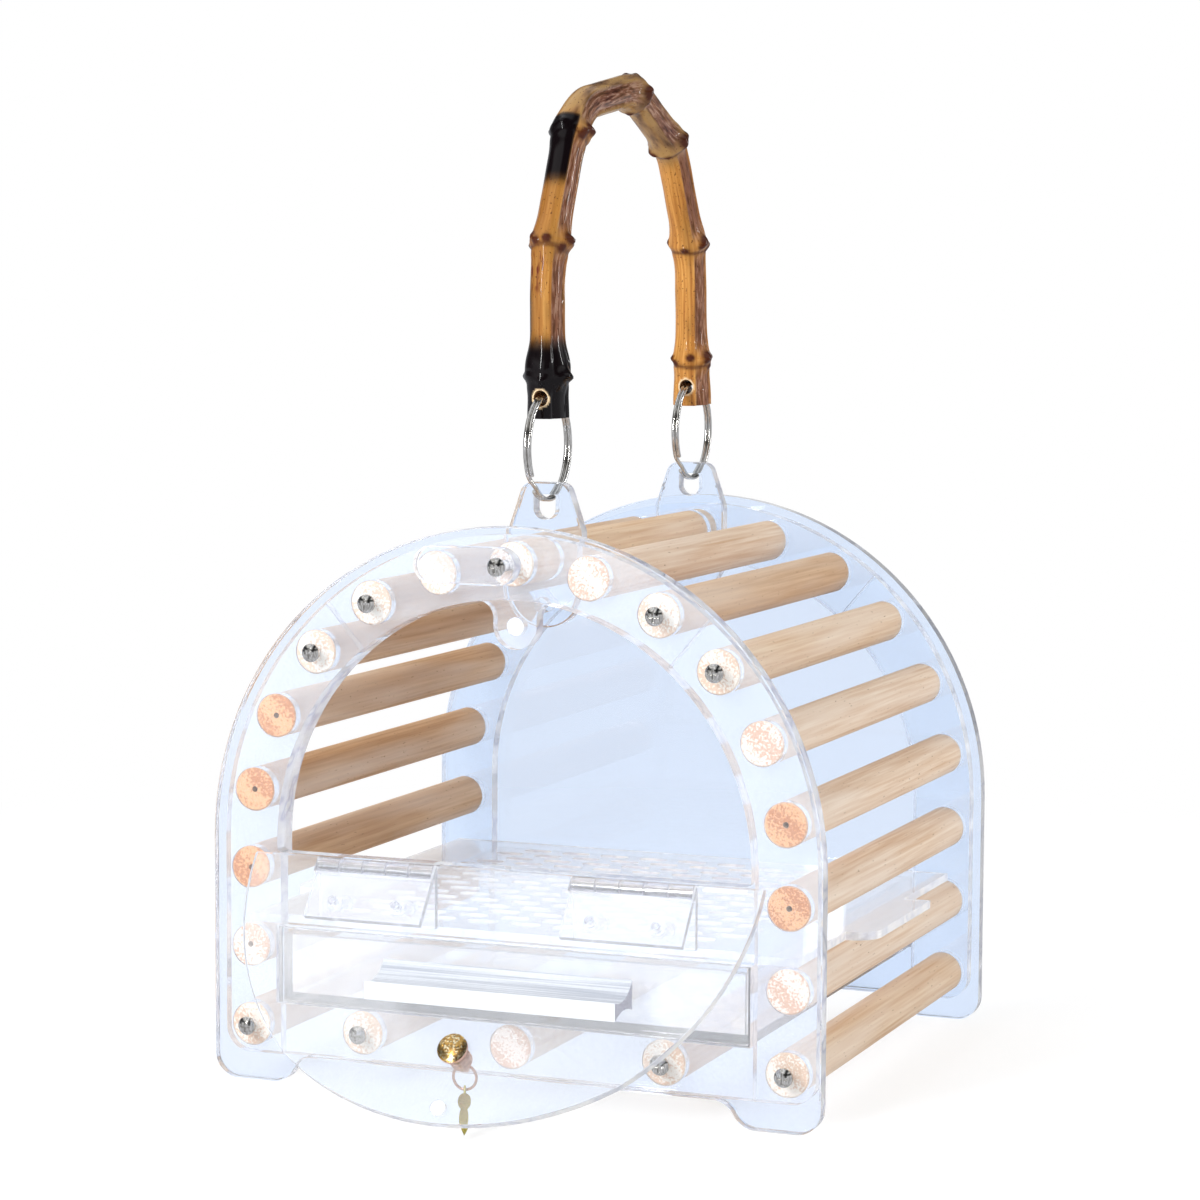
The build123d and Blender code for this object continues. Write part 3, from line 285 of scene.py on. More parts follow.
def glittered_brass(across):
    """Rose-gold plated brass disc: a plain polished side, and a face set with gold glitter flakes that
    catch the light one by one. across is the way the face looks."""
    material, tree = new_material("rose_gold_brass_with_glitter")
    on_face = add(tree, "ShaderNodeMapRange", {
        "Value": facing(tree, across, both_ways=False), "From Min": 0.8, "From Max": 0.92,
    })
    flakes = add(tree, "ShaderNodeTexVoronoi", {
        "Vector": own_place(tree, (GLITTER_MM,) * 3), "Scale": 1.0,
    }, output="Color")
    pick = add(tree, "ShaderNodeSeparateColor", {0: flakes})
    glitter = add(tree, "ShaderNodeValToRGB", {0: pick}, (
        (0.0, "#8A6A3C"), (0.3, "#C39A5C"), (0.6, "#EBBE66"), (0.85, "#FFF3D2"),
    ))
    colour = add(tree, "ShaderNodeMix", {
        SHARE: on_face, UNDER: linear("#E0B49C"), OVER: glitter,
    }, **COLOUR_MIX)
    tilt = add(tree, "ShaderNodeMath", {0: pick, 1: on_face}, operation="MULTIPLY")
    bump = add(tree, "ShaderNodeBump", {"Height": tilt, "Strength": 0.6, "Distance": 0.2 * MM})
    surface = add(tree, "ShaderNodeBsdfPrincipled", {
        "Base Color": colour, "Metallic": 1.0, "Roughness": 0.22, "Normal": bump,
    })
    add(tree, "ShaderNodeOutputMaterial", {"Surface": surface})
    return material


# ---------------------------------------------------------------- timber and cane

PINE_STREAK_MM = (1.3, 60.0, 1.3)       # grain lines, long along the bar
PINE_PATCH_MM = (14.0, 120.0, 14.0)     # paler stretches of a bar
PINE_FLECK_MM = (0.7, 3.2, 0.7)         # short resin flecks
PINE_PORE_MM = 0.8                      # speckle of a sawn end, coarser than real so that it shows
PINE_SWEEP_MM = (32.0, 4000.0, 32.0)    # slow change of tone over a sawn end, about one in 20 mm


def sanded_pine(name, bar, end, speckle):
    """Bare pine dowel, turned and sanded: quiet straight grain along the bar with small resin flecks,
    matt, and a sawn end that is speckled with pores. bar is the grain's dark and light, end the sawn
    end's ground and its specks, and speckle how strong the specks are."""
    material, tree = new_material(name)
    streaks = add(tree, "ShaderNodeTexNoise", {
        "Vector": own_place(tree, PINE_STREAK_MM), "Scale": 1.0, "Detail": 4.0, "Roughness": 0.55,
    })
    patches = add(tree, "ShaderNodeTexNoise", {"Vector": own_place(tree, PINE_PATCH_MM), "Scale": 1.0})
    flecks = add(tree, "ShaderNodeTexNoise", {
        "Vector": own_place(tree, PINE_FLECK_MM), "Scale": 1.0, "Detail": 1.0,
    })
    grain = add(tree, "ShaderNodeValToRGB", {0: streaks}, ((0.3, bar[0]), (0.7, bar[1])))
    paler = add(tree, "ShaderNodeMapRange", {
        "Value": patches, "From Min": 0.4, "From Max": 0.65, "To Max": 0.45,
    })
    grain = add(tree, "ShaderNodeMix", {SHARE: paler, UNDER: grain, OVER: linear("#E4D6C8")}, **COLOUR_MIX)
    fleck = add(tree, "ShaderNodeMapRange", {
        "Value": flecks, "From Min": 0.71, "From Max": 0.77, "To Max": 0.75,
    })
    grain = add(tree, "ShaderNodeMix", {SHARE: fleck, UNDER: grain, OVER: linear("#8E6A48")}, **COLOUR_MIX)

    sweep = add(tree, "ShaderNodeTexWave", {
        "Vector": own_place(tree, PINE_SWEEP_MM), "Scale": 1.0, "Distortion": 1.5, "Detail": 2.0,
    }, wave_type="BANDS", bands_direction="DIAGONAL")
    pores = add(tree, "ShaderNodeTexNoise", {
        "Vector": own_place(tree, (PINE_PORE_MM,) * 3), "Scale": 1.0, "Detail": 2.0,
    })
    specks = add(tree, "ShaderNodeMath", {0: sweep, 1: 0.2, 2: pores}, operation="MULTIPLY_ADD")
    specks = add(tree, "ShaderNodeMapRange", {
        "Value": specks, "From Min": 0.57, "From Max": 0.66, "To Max": speckle,
    })
    sawn = add(tree, "ShaderNodeMix", {
        SHARE: specks, UNDER: linear(end[0]), OVER: linear(end[1]),
    }, **COLOUR_MIX)
    on_end = add(tree, "ShaderNodeMapRange", {
        "Value": facing(tree, ALONG_CARRIER), "From Min": 0.5, "From Max": 0.8,
    })
    colour = add(tree, "ShaderNodeMix", {SHARE: on_end, UNDER: grain, OVER: sawn}, **COLOUR_MIX)
    bump = add(tree, "ShaderNodeBump", {"Height": streaks, "Strength": 0.3, "Distance": 0.2 * MM})
    surface = add(tree, "ShaderNodeBsdfPrincipled", {"Base Color": colour, "Roughness": 0.6, "Normal": bump})
    add(tree, "ShaderNodeOutputMaterial", {"Surface": surface})
    return material


CANE_TEXTURES = (             # each one's spacing along the cane and across it, and its detail
    ("fibre", (26.0, 0.9, 0.9), 4.0),
    ("mottle", (18.0, 5.0, 5.0), 3.0),
    ("speck", (1.0, 0.8, 0.8), 1.0),
    ("streak", (6.0, 1.0, 1.0), 2.0),
)
# the burn, smoke and hole-wall marks also carry painted shade
CANE_MARKS = ("burnt_and_shaded", "smoke_and_shade", "crown", "flute", "knot", "bruise", "hole_rim", "shaded_hole_wall")


def lacquered_bamboo():
    """Bamboo cane, scorched with a flame and dipped in clear lacquer: honey fibre under a wet gloss,
    paler over the crown, smoked brown on the front leg and near black where the flame reached it, with
    darker knots and a reddish brown flute. Painted shade darkens the front leg's left and inner side and
    the drilled holes' walls. The mesh's marks say where each of them lies."""
    material, tree = new_material("lacquered_scorched_bamboo")
    place = add(tree, "ShaderNodeAttribute", attribute_name="cane_place", output="Vector")
    textures = {}
    for key, spacing, detail in CANE_TEXTURES:
        steps = tuple(1 / size for size in spacing)
        vector = add(tree, "ShaderNodeVectorMath", {0: place, 1: steps}, operation="MULTIPLY")
        textures[key] = add(tree, "ShaderNodeTexNoise", {"Vector": vector, "Scale": 1.0, "Detail": detail})
    marks = {
        key: add(tree, "ShaderNodeAttribute", attribute_name=key, output="Fac") for key in CANE_MARKS
    }
    honey = add(tree, "ShaderNodeValToRGB", {0: textures["fibre"]}, (
        (0.3, "#98602A"), (0.5, "#B9803E"), (0.72, "#CF9953"),
    ))
    pale = add(tree, "ShaderNodeValToRGB", {0: textures["mottle"]}, (
        (0.34, "#452C18"), (0.46, "#866440"), (0.58, "#AB8856"), (0.75, "#C2A373"),
    ))
    fluted = add(tree, "ShaderNodeValToRGB", {0: textures["streak"]}, (
        (0.32, "#3A1A12"), (0.5, "#76493A"), (0.68, "#A98674"),
    ))
    dusk = add(tree, "ShaderNodeMapRange", {
        "Value": textures["mottle"], "From Min": 0.5, "From Max": 0.66, "To Max": 0.5,
    })
    speck = add(tree, "ShaderNodeMapRange", {
        "Value": textures["speck"], "From Min": 0.66, "From Max": 0.72, "To Max": 0.8,
    })
    streaked = add(tree, "ShaderNodeMapRange", {
        "Value": textures["streak"], "From Min": 0.5, "From Max": 0.6,
    })
    streaked = add(tree, "ShaderNodeMath", {0: streaked, 1: marks["bruise"]}, operation="MULTIPLY")
    ragged = add(tree, "ShaderNodeMath", {0: textures["fibre"], 1: 0.6, 2: -0.3}, operation="MULTIPLY_ADD")
    # the near black here also holds the painted shade on the front leg's left side
    scorch_and_shade = add(tree, "ShaderNodeMath", {0: marks["burnt_and_shaded"], 1: ragged}, operation="ADD")
    scorch_and_shade = add(tree, "ShaderNodeMapRange", {"Value": scorch_and_shade, "From Min": 0.25, "From Max": 0.8})
    scorch_and_shade = add(tree, "ShaderNodeMath", {
        0: scorch_and_shade, 1: marks["burnt_and_shaded"],
    }, operation="MULTIPLY", use_clamp=True)
    colour = honey
    for share, over in (
        # smoke brown, with painted shade on the front leg's left side
        (marks["smoke_and_shade"], linear("#6B421A")),
        (marks["crown"], pale),
        (dusk, linear("#87602C")),
        (marks["flute"], fluted),
        (speck, linear("#4A2410")),
        (streaked, linear("#5E2413")),
        (marks["knot"], linear("#47200F")),
        (scorch_and_shade, linear("#0A0406")),
        (marks["hole_rim"], linear("#E6CBA4")),
        # painted shade: the holes' drilled walls are drawn darker than their pale rims
        (marks["shaded_hole_wall"], linear("#7A4E2A")),
    ):
        colour = add(tree, "ShaderNodeMix", {SHARE: share, UNDER: colour, OVER: over}, **COLOUR_MIX)
    bump = add(tree, "ShaderNodeBump", {
        "Height": textures["fibre"], "Strength": 0.25, "Distance": 0.25 * MM,
    })
    surface = add(tree, "ShaderNodeBsdfPrincipled", {
        "Base Color": colour, "Roughness": 0.45, "IOR": 1.5, "Specular IOR Level": 0.05, "Normal": bump,
        "Coat Weight": 0.35, "Coat Roughness": 0.05, "Coat IOR": 1.5,
    })
    add(tree, "ShaderNodeOutputMaterial", {"Surface": surface})
    return material


# ---------------------------------------------------------------- finishes of the CAD nodes

def paint(material, *names):
    """Gives CAD nodes their material."""
    for name in names:
        for slot in nodes[name].material_slots:
            slot.material = material


RING_PLACES = ("top", "left", "right", "bottom")
door_turn = math.radians(joints["door_hinge"]["range_deg"][1])
through_door = (0.0, math.cos(door_turn), math.sin(door_turn))      # the door rests open

front_sheet = clear_plastic("cast_acrylic_front_plate", "#FAFCFF", haze=0.05, across=ALONG_CARRIER)
front_ring_sheet = clear_plastic("cast_acrylic_front_ring", "#FBFCFF", haze=0.13, across=ALONG_CARRIER)
rear_sheet = clear_plastic(
    "cast_acrylic_rear_plate", "#F4F9FF", haze=0.03, across=ALONG_CARRIER,
    edge_haze=0.4, edge_grey="#DDE0EC",
)
floor_sheet = clear_plastic(
    "cast_acrylic_floor_grate", "#FDFEFF", haze=0.16, across=UPWARDS, edge_haze=0.45, edge_grey="#E6E8F2",
)
drawer_sheet = clear_plastic(
    "cast_acrylic_drawer_front", "#FDFEFF", haze=0.06, across=ALONG_CARRIER,
    edge_haze=0.12, edge_grey="#EDEEF5",
)
tray_sheet = clear_plastic(
    "cast_acrylic_tray", "#FEFEFF", haze=0.06, across=UPWARDS, edge_haze=0.13, edge_grey="#F8F9FD",
)
door_sheet = clear_plastic(
    "cast_acrylic_door", "#FDFEFF", haze=0.07, across=through_door, edge_haze=0.5, edge_grey="#DDE0EC",
)
hinge_plastic = clear_plastic(
    "moulded_polycarbonate_hinge", "#FBFCFF", haze=0.09, across=ALONG_CARRIER,
    edge_haze=0.15, edge_grey="#E4E6F0", ior=POLYCARBONATE_IOR, finish=0.04,
)
nickel = polished_metal("bright_nickel_plated_steel", "#DAD8D4", "#A9A6A0", roughness=0.16, scratch_mm=0.5)
gold_brass = polished_metal("polished_brass_charm", "#E2D37A", "#8E8A34", roughness=0.34, scratch_mm=0.5)
rose_gold = polished_metal("rose_gold_plated_wire", "#D9AE98", "#9C7A68", roughness=0.2, scratch_mm=0.4)
bamboo = lacquered_bamboo()

pine_cream = sanded_pine(
    "sanded_pine_cream_end", bar=("#CBA580", "#E3CBAE"), end=("#F8EBDA", "#D8A87E"), speckle=0.75,
)
pine_pale = sanded_pine(
    "sanded_pine_pale_end", bar=("#CEAB8A", "#E8D5C0"), end=("#F8E6D6", "#D29872"), speckle=0.75,
)
pine_orange = sanded_pine(
    "sanded_pine_orange_end", bar=("#CDA987", "#E8D4BE"), end=("#EBAE7C", "#B96F3E"), speckle=0.8,
)
# painted shade: a darker bar for left dowels whose inner sides are seen in shade, with an orange sawn end
pine_shaded_bar_orange_end = sanded_pine(
    "sanded_pine_shaded_bar_orange_end", bar=("#B48A62", "#CFAA82"), end=("#EBAE7C", "#B96F3E"), speckle=0.8,
)
# painted shade: a darker bar, with a pale sawn end
pine_shaded_bar_white_end = sanded_pine(
    "sanded_pine_shaded_bar_white_end", bar=("#B9916B", "#D3B08B"), end=("#FAF1E4", "#DBAF8A"), speckle=0.7,
)

paint(pine_cream, *[name for name in nodes if name.startswith("dowel")])
paint(pine_pale, "dowel_bottom_2", "dowel_right_2", "dowel_right_5", "dowel_right_8", "dowel_left_2")
paint(pine_orange, "dowel_right_3", "dowel_right_4")
# these left dowels carry the darker bar of painted shade
paint(pine_shaded_bar_orange_end, "dowel_left_3", "dowel_left_4", "dowel_left_5")
# dowels with the darker bar of painted shade
paint(pine_shaded_bar_white_end, "dowel_left_6", "dowel_left_7", "dowel_left_8", "dowel_right_7")
paint(front_sheet, "front_plate", "latch_bar", "latch_spacer")
paint(front_ring_sheet, *[f"front_ring_{place}" for place in RING_PLACES])
paint(rear_sheet, "rear_plate", "ear_bracket_front", "ear_bracket_rear")
paint(rear_sheet, *[f"rear_ring_{place}" for place in RING_PLACES])
paint(floor_sheet, "floor_grate")
paint(drawer_sheet, "drawer_front")
paint(tray_sheet, "drawer_tray")
paint(frosted_acrylic(), "drawer_pull")
paint(door_sheet, "door_panel")
paint(hinge_plastic, "hinge_left_fixed", "hinge_right_fixed", "hinge_left_moving", "hinge_right_moving")
paint(hinge_plastic, "hinge_screws_frame", "hinge_screws_door")
paint(nickel, "front_screws", "rear_screws", "latch_screw", "hinge_pins")
paint(coated_magnet("white_epoxy_coated_frame_magnet", ALONG_CARRIER), "frame_magnet")
paint(coated_magnet("white_epoxy_coated_door_magnet", through_door), "door_magnet")
paint(glittered_brass(through_door), "knob_disc")
paint(rose_gold, "door_knob", "knob_ring")
paint(gold_brass, "charm")


# ---------------------------------------------------------------- mesh making

SHARP = math.radians(38)      # edges turned more than this stay crisp


def skinned(name, rings):
    """A smooth mesh through successive rings of points, with flat ends."""
    count = len(rings[0])
    points = [point * MM for ring in rings for point in ring]
    faces = []
    for row in range(len(rings) - 1):
        here, there = row * count, (row + 1) * count
        for place in range(count):
            on = (place + 1) % count
            faces.append((here + place, here + on, there + on, there + place))
    faces.append(tuple(reversed(range(count))))
    faces.append(tuple(range(len(points) - count, len(points))))
    mesh = bpy.data.meshes.new(name)
    mesh.from_pydata(points, [], faces)
    mesh.shade_smooth()
    mesh.set_sharp_from_angle(angle=SHARP)
    return put_in_scene(name, mesh)


def apply_modifiers(piece):
    """Bakes a piece's modifiers into its mesh."""
    shaped = bpy.data.meshes.new_from_object(piece.evaluated_get(bpy.context.evaluated_depsgraph_get()))
    piece.modifiers.clear()
    piece.data = shaped


# ---------------------------------------------------------------- bamboo handle: shape

CANE_STEP = 0.8               # between rings of the cane's mesh
CANE_SIDES = 84
CANE_SEAM = 1.5 * math.pi     # the angle round the cane wraps here, on the inside of the bow
CANE_RADIUS = 6.3
CANE_FOOT_RADIUS = 7.6
CANE_FOOT_REACH = 22.0
SKIN_WAVER, SKIN_WAVER_REACH = 0.12, 9.0      # slight unevenness all over
CANE_NODES = (0.044, 0.193, 0.328, 0.528, 0.66, 0.803, 0.946)   # share of the way from the front foot
NODE_SWELL, NODE_SWELL_REACH = 1.2, 6.5
NODE_LOWER_REACH = 0.7 * NODE_SWELL_REACH     # the swell is shorter below a node than above it
NODE_RIDGE, NODE_RIDGE_REACH = 0.28, 1.3
NODE_SCAR, NODE_SCAR_SIDE = 0.3, 2.4
SCAR_COLOUR, SCAR_COLOUR_REACH = 0.8, 0.7 * NODE_RIDGE_REACH
NODE_WAVE, NODE_WAVE_STEP = 0.5, 1.7          # ridge and scar wander up and down, each node its own way
NODE_LIMIT = 4 * NODE_SWELL_REACH             # a node changes nothing beyond this
FOOT_BULGE, FOOT_BULGE_RISE, FOOT_BULGE_REACH = 1.3, 20.5, 5.5
FLUTE_TURN = math.radians(16)      # the flute's place at the front foot, as far the other way at the rear
FLUTE_HALF = math.radians(36)
FLUTE_EDGE = math.radians(9)
FLUTE_DEPTH = 1.1
FLUTE_LIP, FLUTE_LIP_REACH = 0.25, 0.7 * FLUTE_EDGE
FLUTE_STOP = 4.5              # the flute closes this near a node
BUD_HEIGHT, BUD_REACH, BUD_OFF = 1.7, 2.2, 1.5
LOW_BUD_HEIGHT, LOW_BUD_REACH, LOW_BUD_OFF = 0.6 * BUD_HEIGHT, 0.7 * BUD_REACH, -2.6
LOW_BUD_TURN = 0.35           # beside the flute's middle
KNOT_HEIGHT, KNOT_REACH = 0.95, 1.35
KNOTS_ROUND = 7               # small knots round each node
KNOT_STRAY_ROUND, KNOT_STRAY_ALONG = 0.5, 1.3   # how far knots stray from an even row
KNOT_COLOUR = 1.9             # above 1, so that a knot's colour is wider than its peak
BEND_STEP = 1.0               # between points of a bend
HOLE_RADIUS, HOLE_RISE = 2.7, 7.2
HOLE_FLARE = 0.45
DRILL_SIDES = 40
DRILL_PROFILE = (             # out from the cane's middle, and the drill's radius there
    (6.6, HOLE_RADIUS), (8.2, HOLE_RADIUS + HOLE_FLARE), (11.0, HOLE_RADIUS + HOLE_FLARE + 1.0),
)

# the centreline's corners: inwards from the foot, and up from it, then the radius of the bend
FRONT_CORNERS = ((-1.5, 56.0, 60.0), (24.0, 113.5, 30.0))
CROWN_RISE, CROWN_BEHIND_MIDDLE, CROWN_BEND = 122.5, 4.5, 40.0
REAR_CORNERS = ((26.5, 103.5, 30.0), (3.5, 62.0, 60.0))

front_foot = middle_of("split_ring_front")
rear_foot = middle_of("split_ring_rear")
feet_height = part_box("bamboo_handle")[0][2] / MM
hole_height = feet_height + HOLE_RISE


def cane_bends():
    """The cane's centreline, from the front foot over the crown to the rear foot, with round bends."""
    crown = (front_foot.y + rear_foot.y) / 2 + CROWN_BEHIND_MIDDLE
    places = [(front_foot.y, 0.0)]
    places += [(front_foot.y + inwards, rise) for inwards, rise, _ in FRONT_CORNERS]
    places.append((crown, CROWN_RISE))
    places += [(rear_foot.y - inwards, rise) for inwards, rise, _ in REAR_CORNERS]
    places.append((rear_foot.y, 0.0))
    corners = [Vector((0, y, feet_height + rise)) for y, rise in places]
    bends = [bend for _, _, bend in FRONT_CORNERS] + [CROWN_BEND] + [bend for _, _, bend in REAR_CORNERS]
    line = [corners[0]]
    for before, corner, after, bend in zip(corners, corners[1:], corners[2:], bends):
        back, on = (before - corner).normalized(), (after - corner).normalized()
        half = back.angle(on) / 2
        middle = corner + (back + on).normalized() * bend / math.sin(half)
        start = corner + back * bend / math.tan(half) - middle
        end = corner + on * bend / math.tan(half) - middle
        steps = max(4, round(bend * (math.pi - 2 * half) / BEND_STEP))
        for step in range(steps + 1):
            spoke = start.slerp(end, step / steps)
            line.append(middle + spoke * (start.length / spoke.length))
    line.append(corners[-1])
    return line


def cane_line():
    """Points along the centreline, one cane step apart."""
    line = cane_bends()
    points, wanted, walked = [line[0]], CANE_STEP, 0.0
    for here, there in zip(line, line[1:]):
        span = (there - here).length
        while wanted <= walked + span:
            points.append(here.lerp(there, (wanted - walked) / span))
            wanted += CANE_STEP
        walked += span
    points[-1] = line[-1]
    return points


def half_turn(turn):
    """An angle brought within half a turn either way."""
    return (turn + math.pi) % (2 * math.pi) - math.pi


def node_buds(flute, number):
    """A node's two buds on the flute and its small knots: off its middle, round, height and reach."""
    buds = [
        (BUD_OFF, flute, BUD_HEIGHT, BUD_REACH),
        (LOW_BUD_OFF, flute + LOW_BUD_TURN, LOW_BUD_HEIGHT, LOW_BUD_REACH),
    ]
    for knot in range(KNOTS_ROUND):
        about = knot * 2 * math.pi / KNOTS_ROUND + KNOT_STRAY_ROUND * math.sin(knot * 5 + number * 3)
        buds.append((KNOT_STRAY_ALONG * math.sin(knot * 2.3 + number), about, KNOT_HEIGHT, KNOT_REACH))
    return buds


def node_relief(off, turn, flute, number):
    """How far a node lifts the cane's skin this far off its middle, and how dark a knot is there."""
    waved = off + NODE_WAVE * math.sin(turn * 2 + number * NODE_WAVE_STEP)
    lift = NODE_SWELL * hump(off, NODE_SWELL_REACH if off > 0 else NODE_LOWER_REACH)
    lift += NODE_RIDGE * hump(waved, NODE_RIDGE_REACH)
    lift -= NODE_SCAR * hump(waved + NODE_SCAR_SIDE, NODE_RIDGE_REACH)
    knotted = SCAR_COLOUR * hump(waved + NODE_SCAR_SIDE, SCAR_COLOUR_REACH)
    for bud_off, about, height, reach in node_buds(flute, number):
        near = hump(math.hypot(off - bud_off, CANE_RADIUS * half_turn(turn - about)), reach)
        lift += height * near
        knotted = max(knotted, gentle(KNOT_COLOUR * near))
    return lift, knotted


# ---------------------------------------------------------------- bamboo handle: marks

# Where each mark begins or ends, and the stretch over which it fades. "along" is in millimetres from
# the front foot, "share" is a part of the cane's length, and "turn" is in radians round it, from 0 at
# +X through a quarter turn on the outside of the bow.
FOOT_BURN_END = (36.0, 12.0)                                              # along
SHOULDER_BURN_START, SHOULDER_BURN_END = (78.0, 12.0), (113.5, 3.0)       # along
SHOULDER_BURN_FADE = 0.2                                                  # turn, beside the flute
# painted shade: the front leg's left and inner side is darkened along with the burns
DARK_SIDE_SHADE_START = (math.radians(95), math.radians(60))                         # turn
DARK_SIDE_SHADE_LOW, DARK_SIDE_SHADE_LOW_END = 0.55, (62.0, 25.0)                               # strength, along
DARK_SIDE_SHADE_HIGH, DARK_SIDE_SHADE_HIGH_END = 0.4, (100.0, 20.0)                             # strength, along
SMOKE_END = (0.33, 0.04)                                                  # share
# smoke browns the front leg all round; the side share is painted shade on its left and inner side
SMOKE_ALL_ROUND, BROWN_SIDE_SHADE, BROWN_SIDE_SHADE_START = 0.25, 0.35, (1.2, 0.8)      # strengths, turn
PALE_CROWN_START, PALE_CROWN_END = (0.3, 0.06), (0.70, 0.05)              # share
FLUTE_COLOUR = 0.85
BRUISE_START, BRUISE_END, BRUISE_OUTSIDE_START = (44.0, 4.0), (61.0, 6.0), (1.2, 0.3)     # along, turn
REAR_BRUISE, REAR_BRUISE_START, REAR_BRUISE_END = 0.8, (0.66, 0.02), (0.80, 0.05)         # share
REAR_BRUISE_SPREAD = 1.3                                                  # turn, beside the flute
HOLE_RIM, HOLE_RIM_FADE = 0.45, 0.3           # pale bare fibre round the flare
HOLE_WALL = 0.1                               # this near the drilled radius is the hole's wall


def cane_skin(along, turn, length):
    """The cane's radius at a point of its skin, and how far each of its marks covers that point."""
    share = along / length
    flute = FLUTE_TURN * (1 - 2 * share)
    aside = abs(half_turn(turn - flute))
    from_end = min(along, length - along)
    radius = CANE_RADIUS
    radius += SKIN_WAVER * noise.noise(
        Vector((along / SKIN_WAVER_REACH, 2 * math.cos(turn), 2 * math.sin(turn)))
    )
    radius += (CANE_FOOT_RADIUS - CANE_RADIUS) * gentle(1 - from_end / CANE_FOOT_REACH)
    radius += FOOT_BULGE * hump(along - FOOT_BULGE_RISE, FOOT_BULGE_REACH)
    upwards = 1 if share < 0.5 else -1
    fluted, knotted = 1.0, 0.0
    for number, node in enumerate(CANE_NODES):
        off = (along - node * length) * upwards
        if abs(off) > NODE_LIMIT:
            continue
        lift, dark = node_relief(off, turn, flute, number)
        radius += lift
        knotted = max(knotted, dark)
        fluted *= 1 - hump(off, FLUTE_STOP)
    in_flute = ends(aside, FLUTE_HALF + FLUTE_EDGE, FLUTE_EDGE)
    lip = hump(aside - FLUTE_HALF - FLUTE_EDGE, FLUTE_LIP_REACH)
    radius += fluted * (FLUTE_LIP * lip - FLUTE_DEPTH * in_flute)

    foot_burn = ends(along, *FOOT_BURN_END)
    shoulder_burn = begins(along, *SHOULDER_BURN_START) * ends(along, *SHOULDER_BURN_END)
    shoulder_burn *= begins(aside, FLUTE_HALF, SHOULDER_BURN_FADE)
    # painted shade down the front leg's left and inner side, carried with the burns
    dark_side_shade = DARK_SIDE_SHADE_LOW * ends(along, *DARK_SIDE_SHADE_LOW_END) + DARK_SIDE_SHADE_HIGH * ends(along, *DARK_SIDE_SHADE_HIGH_END)
    dark_side_shade *= begins(turn, *DARK_SIDE_SHADE_START)
    # smoke all round, and painted shade on the left and inner side
    smoke_and_shade = SMOKE_ALL_ROUND + BROWN_SIDE_SHADE * begins(turn, *BROWN_SIDE_SHADE_START)
    bruise = begins(along, *BRUISE_START) * ends(along, *BRUISE_END) * begins(turn, *BRUISE_OUTSIDE_START)
    rear_bruise = begins(share, *REAR_BRUISE_START) * ends(share, *REAR_BRUISE_END)
    rear_bruise *= REAR_BRUISE * gentle(1 - aside / REAR_BRUISE_SPREAD)
    return radius, {
        "burnt_and_shaded": max(shoulder_burn, foot_burn, dark_side_shade),
        "smoke_and_shade": smoke_and_shade * ends(share, *SMOKE_END),
        "crown": begins(share, *PALE_CROWN_START) * ends(share, *PALE_CROWN_END),
        "flute": FLUTE_COLOUR * in_flute * fluted,
        "knot": knotted,
        "bruise": bruise + rear_bruise,
    }


def drill_foot(cane, foot):
    """Drills one foot of the cane through from front to rear, with a flare at both mouths."""
    profile = [(-out, radius) for out, radius in reversed(DRILL_PROFILE)] + list(DRILL_PROFILE)
    turns = [2 * math.pi * side / DRILL_SIDES for side in range(DRILL_SIDES)]
    drill = skinned("drill", [
        [Vector((radius * math.sin(turn), foot.y + out, hole_height + radius * math.cos(turn)))
         for turn in turns]
        for out, radius in profile
    ])
    cut = cane.modifiers.new("foot_hole", "BOOLEAN")
    cut.object = drill
    cut.solver = "EXACT"
    apply_modifiers(cane)
    bpy.data.objects.remove(drill)


def make_cane():
    """The bent cane with its nodes, buds, flute and drilled feet, and its marks for the material."""
    line = cane_line()
    length = CANE_STEP * (len(line) - 1)
    rings, marked = [], []
    for row, middle in enumerate(line):
        along = row * CANE_STEP
        tangent = (line[min(row + 1, len(line) - 1)] - line[max(row - 1, 0)]).normalized()
        outward = Vector((1, 0, 0)).cross(tangent)
        ring = []
        for side in range(CANE_SIDES):
            turn = 2 * math.pi * side / CANE_SIDES
            turn = turn if turn < CANE_SEAM else turn - 2 * math.pi
            radius, marks = cane_skin(along, turn, length)
            ring.append(middle + (Vector((math.cos(turn), 0, 0)) + outward * math.sin(turn)) * radius)
            marked.append((marks, (along, CANE_RADIUS * math.cos(turn), CANE_RADIUS * math.sin(turn))))
        rings.append(ring)
    cane = skinned("lacquered_bamboo_handle", rings)
    lookup = kdtree.KDTree(len(marked))
    for index, vertex in enumerate(cane.data.vertices):
        lookup.insert(vertex.co, index)
    lookup.balance()
    drill_foot(cane, front_foot)
    drill_foot(cane, rear_foot)

    mesh = cane.data
    values = {key: [] for key in CANE_MARKS}
    places = []
    for vertex in mesh.vertices:
        marks, place = marked[lookup.find(vertex.co)[1]]
        for key in marks:
            values[key].append(marks[key])
        places += place
        from_hole = math.hypot(vertex.co.x / MM, vertex.co.z / MM - hole_height)
        values["hole_rim"].append(ends(from_hole, HOLE_RADIUS + HOLE_FLARE + HOLE_RIM, HOLE_RIM_FADE))
        # the drilled walls get a painted shade
        values["shaded_hole_wall"].append(1.0 if from_hole < HOLE_RADIUS + HOLE_WALL else 0.0)
    for key, numbers in values.items():
        mesh.attributes.new(key, "FLOAT", "POINT").data.foreach_set("value", numbers)
    mesh.attributes.new("cane_place", "FLOAT_VECTOR", "POINT").data.foreach_set("vector", places)
    mesh.shade_smooth()
    mesh.set_sharp_from_angle(angle=SHARP)
    mesh.materials.clear()
    mesh.materials.append(bamboo)
    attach(cane, "handle")
    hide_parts("bamboo_handle")


# ---------------------------------------------------------------- split rings

